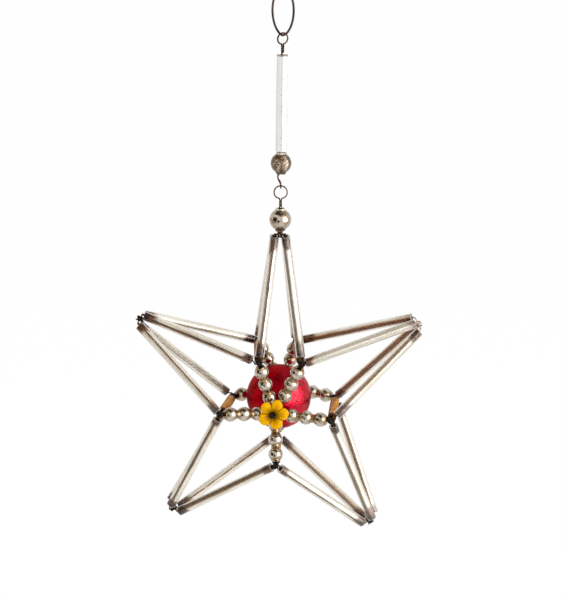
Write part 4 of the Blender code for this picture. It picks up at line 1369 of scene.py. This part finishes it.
class GLASSSTAR_OT_link_wire(PieceOperator, bpy.types.Operator):
    """Wire of the link: hook below, twisted ring above"""
    bl_idname = "glass_star.link_wire"
    bl_label = "Link wire"

    def build(self, sizes):
        joint = next(joint for joint in frame["joints"] if joint["name"] == "star_swing")
        hook = np.array(joint["pos_m"])
        tube_low, tube_high = box("satin_tube")
        half = HOOK_WIDTH / 2
        limb_top = hook + UP * HOOK_LENGTH * HOOK_LIMB + FRONT * half - RIGHT * HOOK_SWAY / 2
        angle = np.linspace(0.0, math.pi, BOW_POINTS)[:, None]
        bow = hook + UP * half + FRONT * half * np.cos(angle) - UP * half * np.sin(angle)
        sway = hook + UP * HOOK_LENGTH * HOOK_SHANK - FRONT * half / 2 - RIGHT * HOOK_SWAY
        bead_foot = UP * box("link_bead")[0][2] - RIGHT * HOOK_SWAY / 2
        satin_top = UP * tube_high[2]
        along = level_way(UPPER_RING_TURN)
        upper = eye(satin_top + UP * (RING_WIRE / 2 + STRUNG_GAP), along, *UPPER_RING)
        points = path(bend(limb_top, -UP, bow[0], -UP), bow, bend(bow[-1], UP, sway, UP, LONG_BEND_STEPS),
                      bend(sway, UP, bead_foot, UP, LONG_BEND_STEPS),
                      bend(bead_foot, UP, UP * tube_low[2], UP),
                      bend(satin_top - UP * STRUNG_BORE, UP, upper[0], UP), upper)
        wire_piece("drawn_link_wire", [(points, np.cross(along, UP))], RING_WIRE, sizes.wire_facets,
                   ["link_wire"], body="link")


def tip_crossing(tip, face):
    """Two points where a frame wire runs straight over the middle of a tip, and its direction there."""
    place, outward, side, front = STAR.tip_frame(tip)
    rise = KNOT_RING + WIRE / 2 - TUBE_TIP_GAP
    middle = place + outward * rise + front * FACES[face] * (WIRE + TIP_STRAND_GAP) / 2
    return middle - side * KNOT_STRAIGHT / 2, middle + side * KNOT_STRAIGHT / 2, side


def tip_winding(tip):
    """Turns of wire round the two frame wires at a tip: a flattened helix that ends outwards at the front."""
    _, outward, side, front = STAR.tip_frame(tip)
    middle = (tip_crossing(tip, "front")[1] + tip_crossing(tip, "back")[0]) / 2
    reach = (WIRE + TIP_STRAND_GAP) / 2 + KNOT_RING
    share = np.linspace(0.0, 1.0, TIP_TURN_POINTS)[:, None]
    angle = math.tau * TIP_KNOT_TURNS * (share - 1.0)
    radial = front * reach * np.cos(angle) + outward * KNOT_RING * np.sin(angle)
    return middle + radial + side * KNOT_PITCH * TIP_KNOT_TURNS * (share - 0.5)


class GLASSSTAR_OT_star_hanger(PieceOperator, bpy.types.Operator):
    """Wire that binds the top tip, runs up through its bead and ends in a twisted ring"""
    bl_idname = "glass_star.star_hanger"
    bl_label = "Star hanger wire"

    def build(self, sizes):
        low, high = box("star_bead")
        middle = UP * (low[2] + high[2]) / 2
        half = (high - low)[2] / 2
        within = UP * (half - STRUNG_BORE / 2)
        ring = eye(middle + UP * (half + STRUNG_GAP + RING_WIRE / 2), RIGHT, *STAR_RING)
        turns = tip_winding(TIP_NAMES.index("top"))
        points = path(turns, bend(turns[-1], UP, middle - within, UP),
                      bend(middle + within, UP, ring[0], UP), ring)
        wire_piece("drawn_star_hanger", [(points, HANGER_REFERENCE)], WIRE, sizes.wire_facets,
                   ["star_hanger_wire"])


class GLASSSTAR_OT_frame_wires(PieceOperator, bpy.types.Operator):
    """Wires through the ten long tubes of each face"""
    bl_idname = "glass_star.frame_wires"
    bl_label = "Frame wires"

    def build(self, sizes):
        for face in FACES:
            runs = []
            for tip, name in enumerate(TIP_NAMES):
                near = STAR.tubes[name, face, "a"]
                first, last, side = tip_crossing(tip, face)
                joint = (tip + 1) % POINTS
                far, leaving = STAR.joint_tubes(face, joint)
                knot = STAR.knots[face, joint]
                run = STAR.joint_run(face, joint)
                half = run * KNOT_STRAIGHT / 2
                runs += [bend(near.end, near.way, first, side, LONG_BEND_STEPS),
                         bend(last, side, far.end, -far.way, LONG_BEND_STEPS),
                         bend(far.base, -far.way, knot - half, run, LONG_BEND_STEPS, JOINT_PULL),
                         bend(knot + half, run, leaving.base, leaving.way, LONG_BEND_STEPS, JOINT_PULL)]
            wire_piece(f"drawn_{face}_frame_wire", [(path(*runs), STAR.facing)], WIRE, sizes.wire_facets,
                       [f"{face}_frame_wire"], closed=True)


def joint_winding(face, joint, come, leave):
    """Turns of a rib wire round the frame wire at a joint: a helix about the frame wire's run, from the side
    on which the wire comes to the side on which it leaves."""
    run = STAR.joint_run(face, joint)
    start_way = across(come, run)
    leave_way = across(leave, run)
    turn_way = np.cross(run, start_way)
    if np.dot(leave_way, turn_way) < 0.0:
        turn_way = -turn_way
    sweep = math.tau + math.acos(np.clip(np.dot(start_way, leave_way), -1.0, 1.0))
    advance = run * math.copysign(KNOT_PITCH * sweep / math.tau, np.dot(come + leave, run))
    share = np.linspace(0.0, 1.0, JOINT_TURN_POINTS)[:, None]
    angle = sweep * share - math.pi / 2
    radial = start_way * np.cos(angle) + turn_way * np.sin(angle)
    return STAR.knots[face, joint] + radial * KNOT_RING + advance * (share - 0.5), start_way, leave_way


class GLASSSTAR_OT_rib_wires(PieceOperator, bpy.types.Operator):
    """Wires from hub to hub through beads, joint, short tube, joint and beads"""
    bl_idname = "glass_star.rib_wires"
    bl_label = "Rib wires"

    def build(self, sizes):
        for joint, tube in enumerate(STAR.cross):
            node = f"rib_wire_{joint + 1}"
            front = STAR.sticks["front", joint]
            back = STAR.sticks["back", joint]
            turns, come, leave = joint_winding("front", joint, -front.way, tube.way)
            far_turns, far_come, far_leave = joint_winding("back", joint, tube.way, back.way)
            wire = path(self.hub_end(node, front), bend(front.base, -front.way, turns[0], come), turns,
                        bend(turns[-1], leave, tube.base, tube.way),
                        bend(tube.end, tube.way, far_turns[0], far_come), far_turns,
                        bend(far_turns[-1], far_leave, back.base, back.way), self.hub_end(node, back))
            run = STAR.joint_run("front", joint)
            wire_piece(f"drawn_{node}", [(wire, run)], WIRE, sizes.wire_facets, [node])

    def hub_end(self, node, stick):
        """End of a rib wire beyond a stick: its farthest corner near the stick's axis."""
        points = node_points(node) - stick.base
        along = points @ stick.way
        off = np.linalg.norm(points - np.outer(along, stick.way), axis=1)
        return stick.base + stick.way * along[off < 2 * WIRE].max()


class GLASSSTAR_OT_tip_bindings(PieceOperator, bpy.types.Operator):
    """Wound bindings of the four lower tips, each with its cut tail"""
    bl_idname = "glass_star.tip_bindings"
    bl_label = "Tip bindings"

    def build(self, sizes):
        for tip, name in list(enumerate(TIP_NAMES))[1:]:
            _, outward, side, front = STAR.tip_frame(tip)
            turns = tip_winding(tip)
            tail = unit(outward + front / 2)
            wire = path(turns, bend(turns[-1], outward, turns[-1] + tail * TIP_TAIL, tail, TAIL_STEPS))
            node = f"tip_binding_{name}"
            wire_piece(f"drawn_{node}", [(wire, side)], WIRE, sizes.wire_facets, [node])


def lashing(middle, run, aside, turns, seed):
    """Crossed turns of wire round a knot: the wire goes round the run while it sways along it, each turn a
    little wider than the last, and both ends stand off. Gives the points and the directions that the
    profile is counted from."""
    over = np.cross(run, aside)
    share = np.linspace(0.0, 1.0, LASHING_STEPS * turns)[:, None]
    angle = math.tau * turns * share + seed
    away = aside * np.cos(angle) + over * np.sin(angle)
    sway = np.sin(math.tau * (turns * 0.38 * share) + 2.3 * seed)
    swell = 1.0 + 0.28 * share + 0.06 * np.sin(3.0 * angle + seed)
    points = middle + away * LASHING_RADIUS * swell + run * LASHING_SPREAD * sway
    flight = np.linspace(0.0, 1.0, TAIL_STEPS + 1)[1:, None]
    first = unit(away[0] + run * 0.6 * math.sin(seed))
    last = unit(away[-1] - run * 0.6 * math.cos(seed))
    start = points[0] + first * LASHING_TAIL * flight[::-1] * (0.7 + 0.3 * math.cos(seed))
    end = points[-1] + last * LASHING_TAIL * flight * (0.7 + 0.3 * math.sin(seed))
    tails = [np.tile(np.cross(run, way), (TAIL_STEPS, 1)) for way in (first, last)]
    return np.concatenate([start, points, end]), np.concatenate([tails[0], away, tails[1]])


class GLASSSTAR_OT_lashings(PieceOperator, bpy.types.Operator):
    """Dark turns of wire lashed round every knot"""
    bl_idname = "glass_star.lashings"
    bl_label = "Lashings"

    def build(self, sizes):
        groups = {}
        for face in FACES:
            for joint in range(POINTS):
                run = STAR.joint_run(face, joint)
                aside = across(STAR.sticks[face, joint].way, run)
                turns = lashing(STAR.knots[face, joint], run, aside, JOINT_LASHINGS,
                                1.3 * joint + LASHING_SEEDS[face])
                groups.setdefault(f"{face}_joint_lashings", []).append(turns)
        for tip in range(POINTS):
            _, _, side, front = STAR.tip_frame(tip)
            middle = sum(point for face in FACES for point in tip_crossing(tip, face)[:2]) / 4
            turns = lashing(middle, side, front, TIP_LASHINGS[tip], 0.9 + 1.7 * tip)
            groups.setdefault("tip_lashings", []).append(turns)
        for name, runs in groups.items():
            wire_piece(name, runs, LASHING_WIRE, LASHING_FACETS, recipe=lashing_wire)


class GLASSSTAR_OT_hub_wire(PieceOperator, bpy.types.Operator):
    """Tarnish on the wire through the ball and the flower"""
    bl_idname = "glass_star.hub_wire"
    bl_label = "Hub wire"

    def build(self, sizes):
        mesh = frame["nodes"]["hub_wire"].data
        mesh.materials.clear()
        mesh.materials.append(material(lashing_wire))


class GLASSSTAR_PT_panel(bpy.types.Panel):
    """Sidebar panel that lists the pieces"""
    bl_idname = "GLASSSTAR_PT_panel"
    bl_label = "Glass star"
    bl_space_type = "VIEW_3D"
    bl_region_type = "UI"
    bl_category = "Glass star"

    def draw(self, context):
        for operator in OPERATORS:
            self.layout.operator(operator.bl_idname)
        for group in (context.scene.glass_star_sizes, context.scene.glass_star_colours):
            column = self.layout.box()
            for key in group.__annotations__:
                column.prop(group, key)


OPERATORS = (
    GLASSSTAR_OT_stage,
    GLASSSTAR_OT_hanging_loop,
    GLASSSTAR_OT_link_wire,
    GLASSSTAR_OT_satin_tube,
    GLASSSTAR_OT_strung_beads,
    GLASSSTAR_OT_star_hanger,
    GLASSSTAR_OT_long_tubes,
    GLASSSTAR_OT_cross_tubes,
    GLASSSTAR_OT_bead_sticks,
    GLASSSTAR_OT_ball,
    GLASSSTAR_OT_flower,
    GLASSSTAR_OT_frame_wires,
    GLASSSTAR_OT_rib_wires,
    GLASSSTAR_OT_tip_bindings,
    GLASSSTAR_OT_lashings,
    GLASSSTAR_OT_hub_wire,
)
CLASSES = (GlassStarColours, GlassStarSizes, *OPERATORS, GLASSSTAR_PT_panel)


def register():
    """Make the classes known and hang the properties on the scene."""
    for item in CLASSES:
        bpy.utils.register_class(item)
    bpy.types.Scene.glass_star_colours = PointerProperty(type=GlassStarColours)
    bpy.types.Scene.glass_star_sizes = PointerProperty(type=GlassStarSizes)


def unregister():
    """Take the properties and the classes away again."""
    del bpy.types.Scene.glass_star_sizes
    del bpy.types.Scene.glass_star_colours
    for item in reversed(CLASSES):
        bpy.utils.unregister_class(item)


def main():
    """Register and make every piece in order."""
    register()
    for operator in OPERATORS:
        group, name = operator.bl_idname.split(".")
        getattr(getattr(bpy.ops, group), name)()


if __name__ == "__main__":
    main()
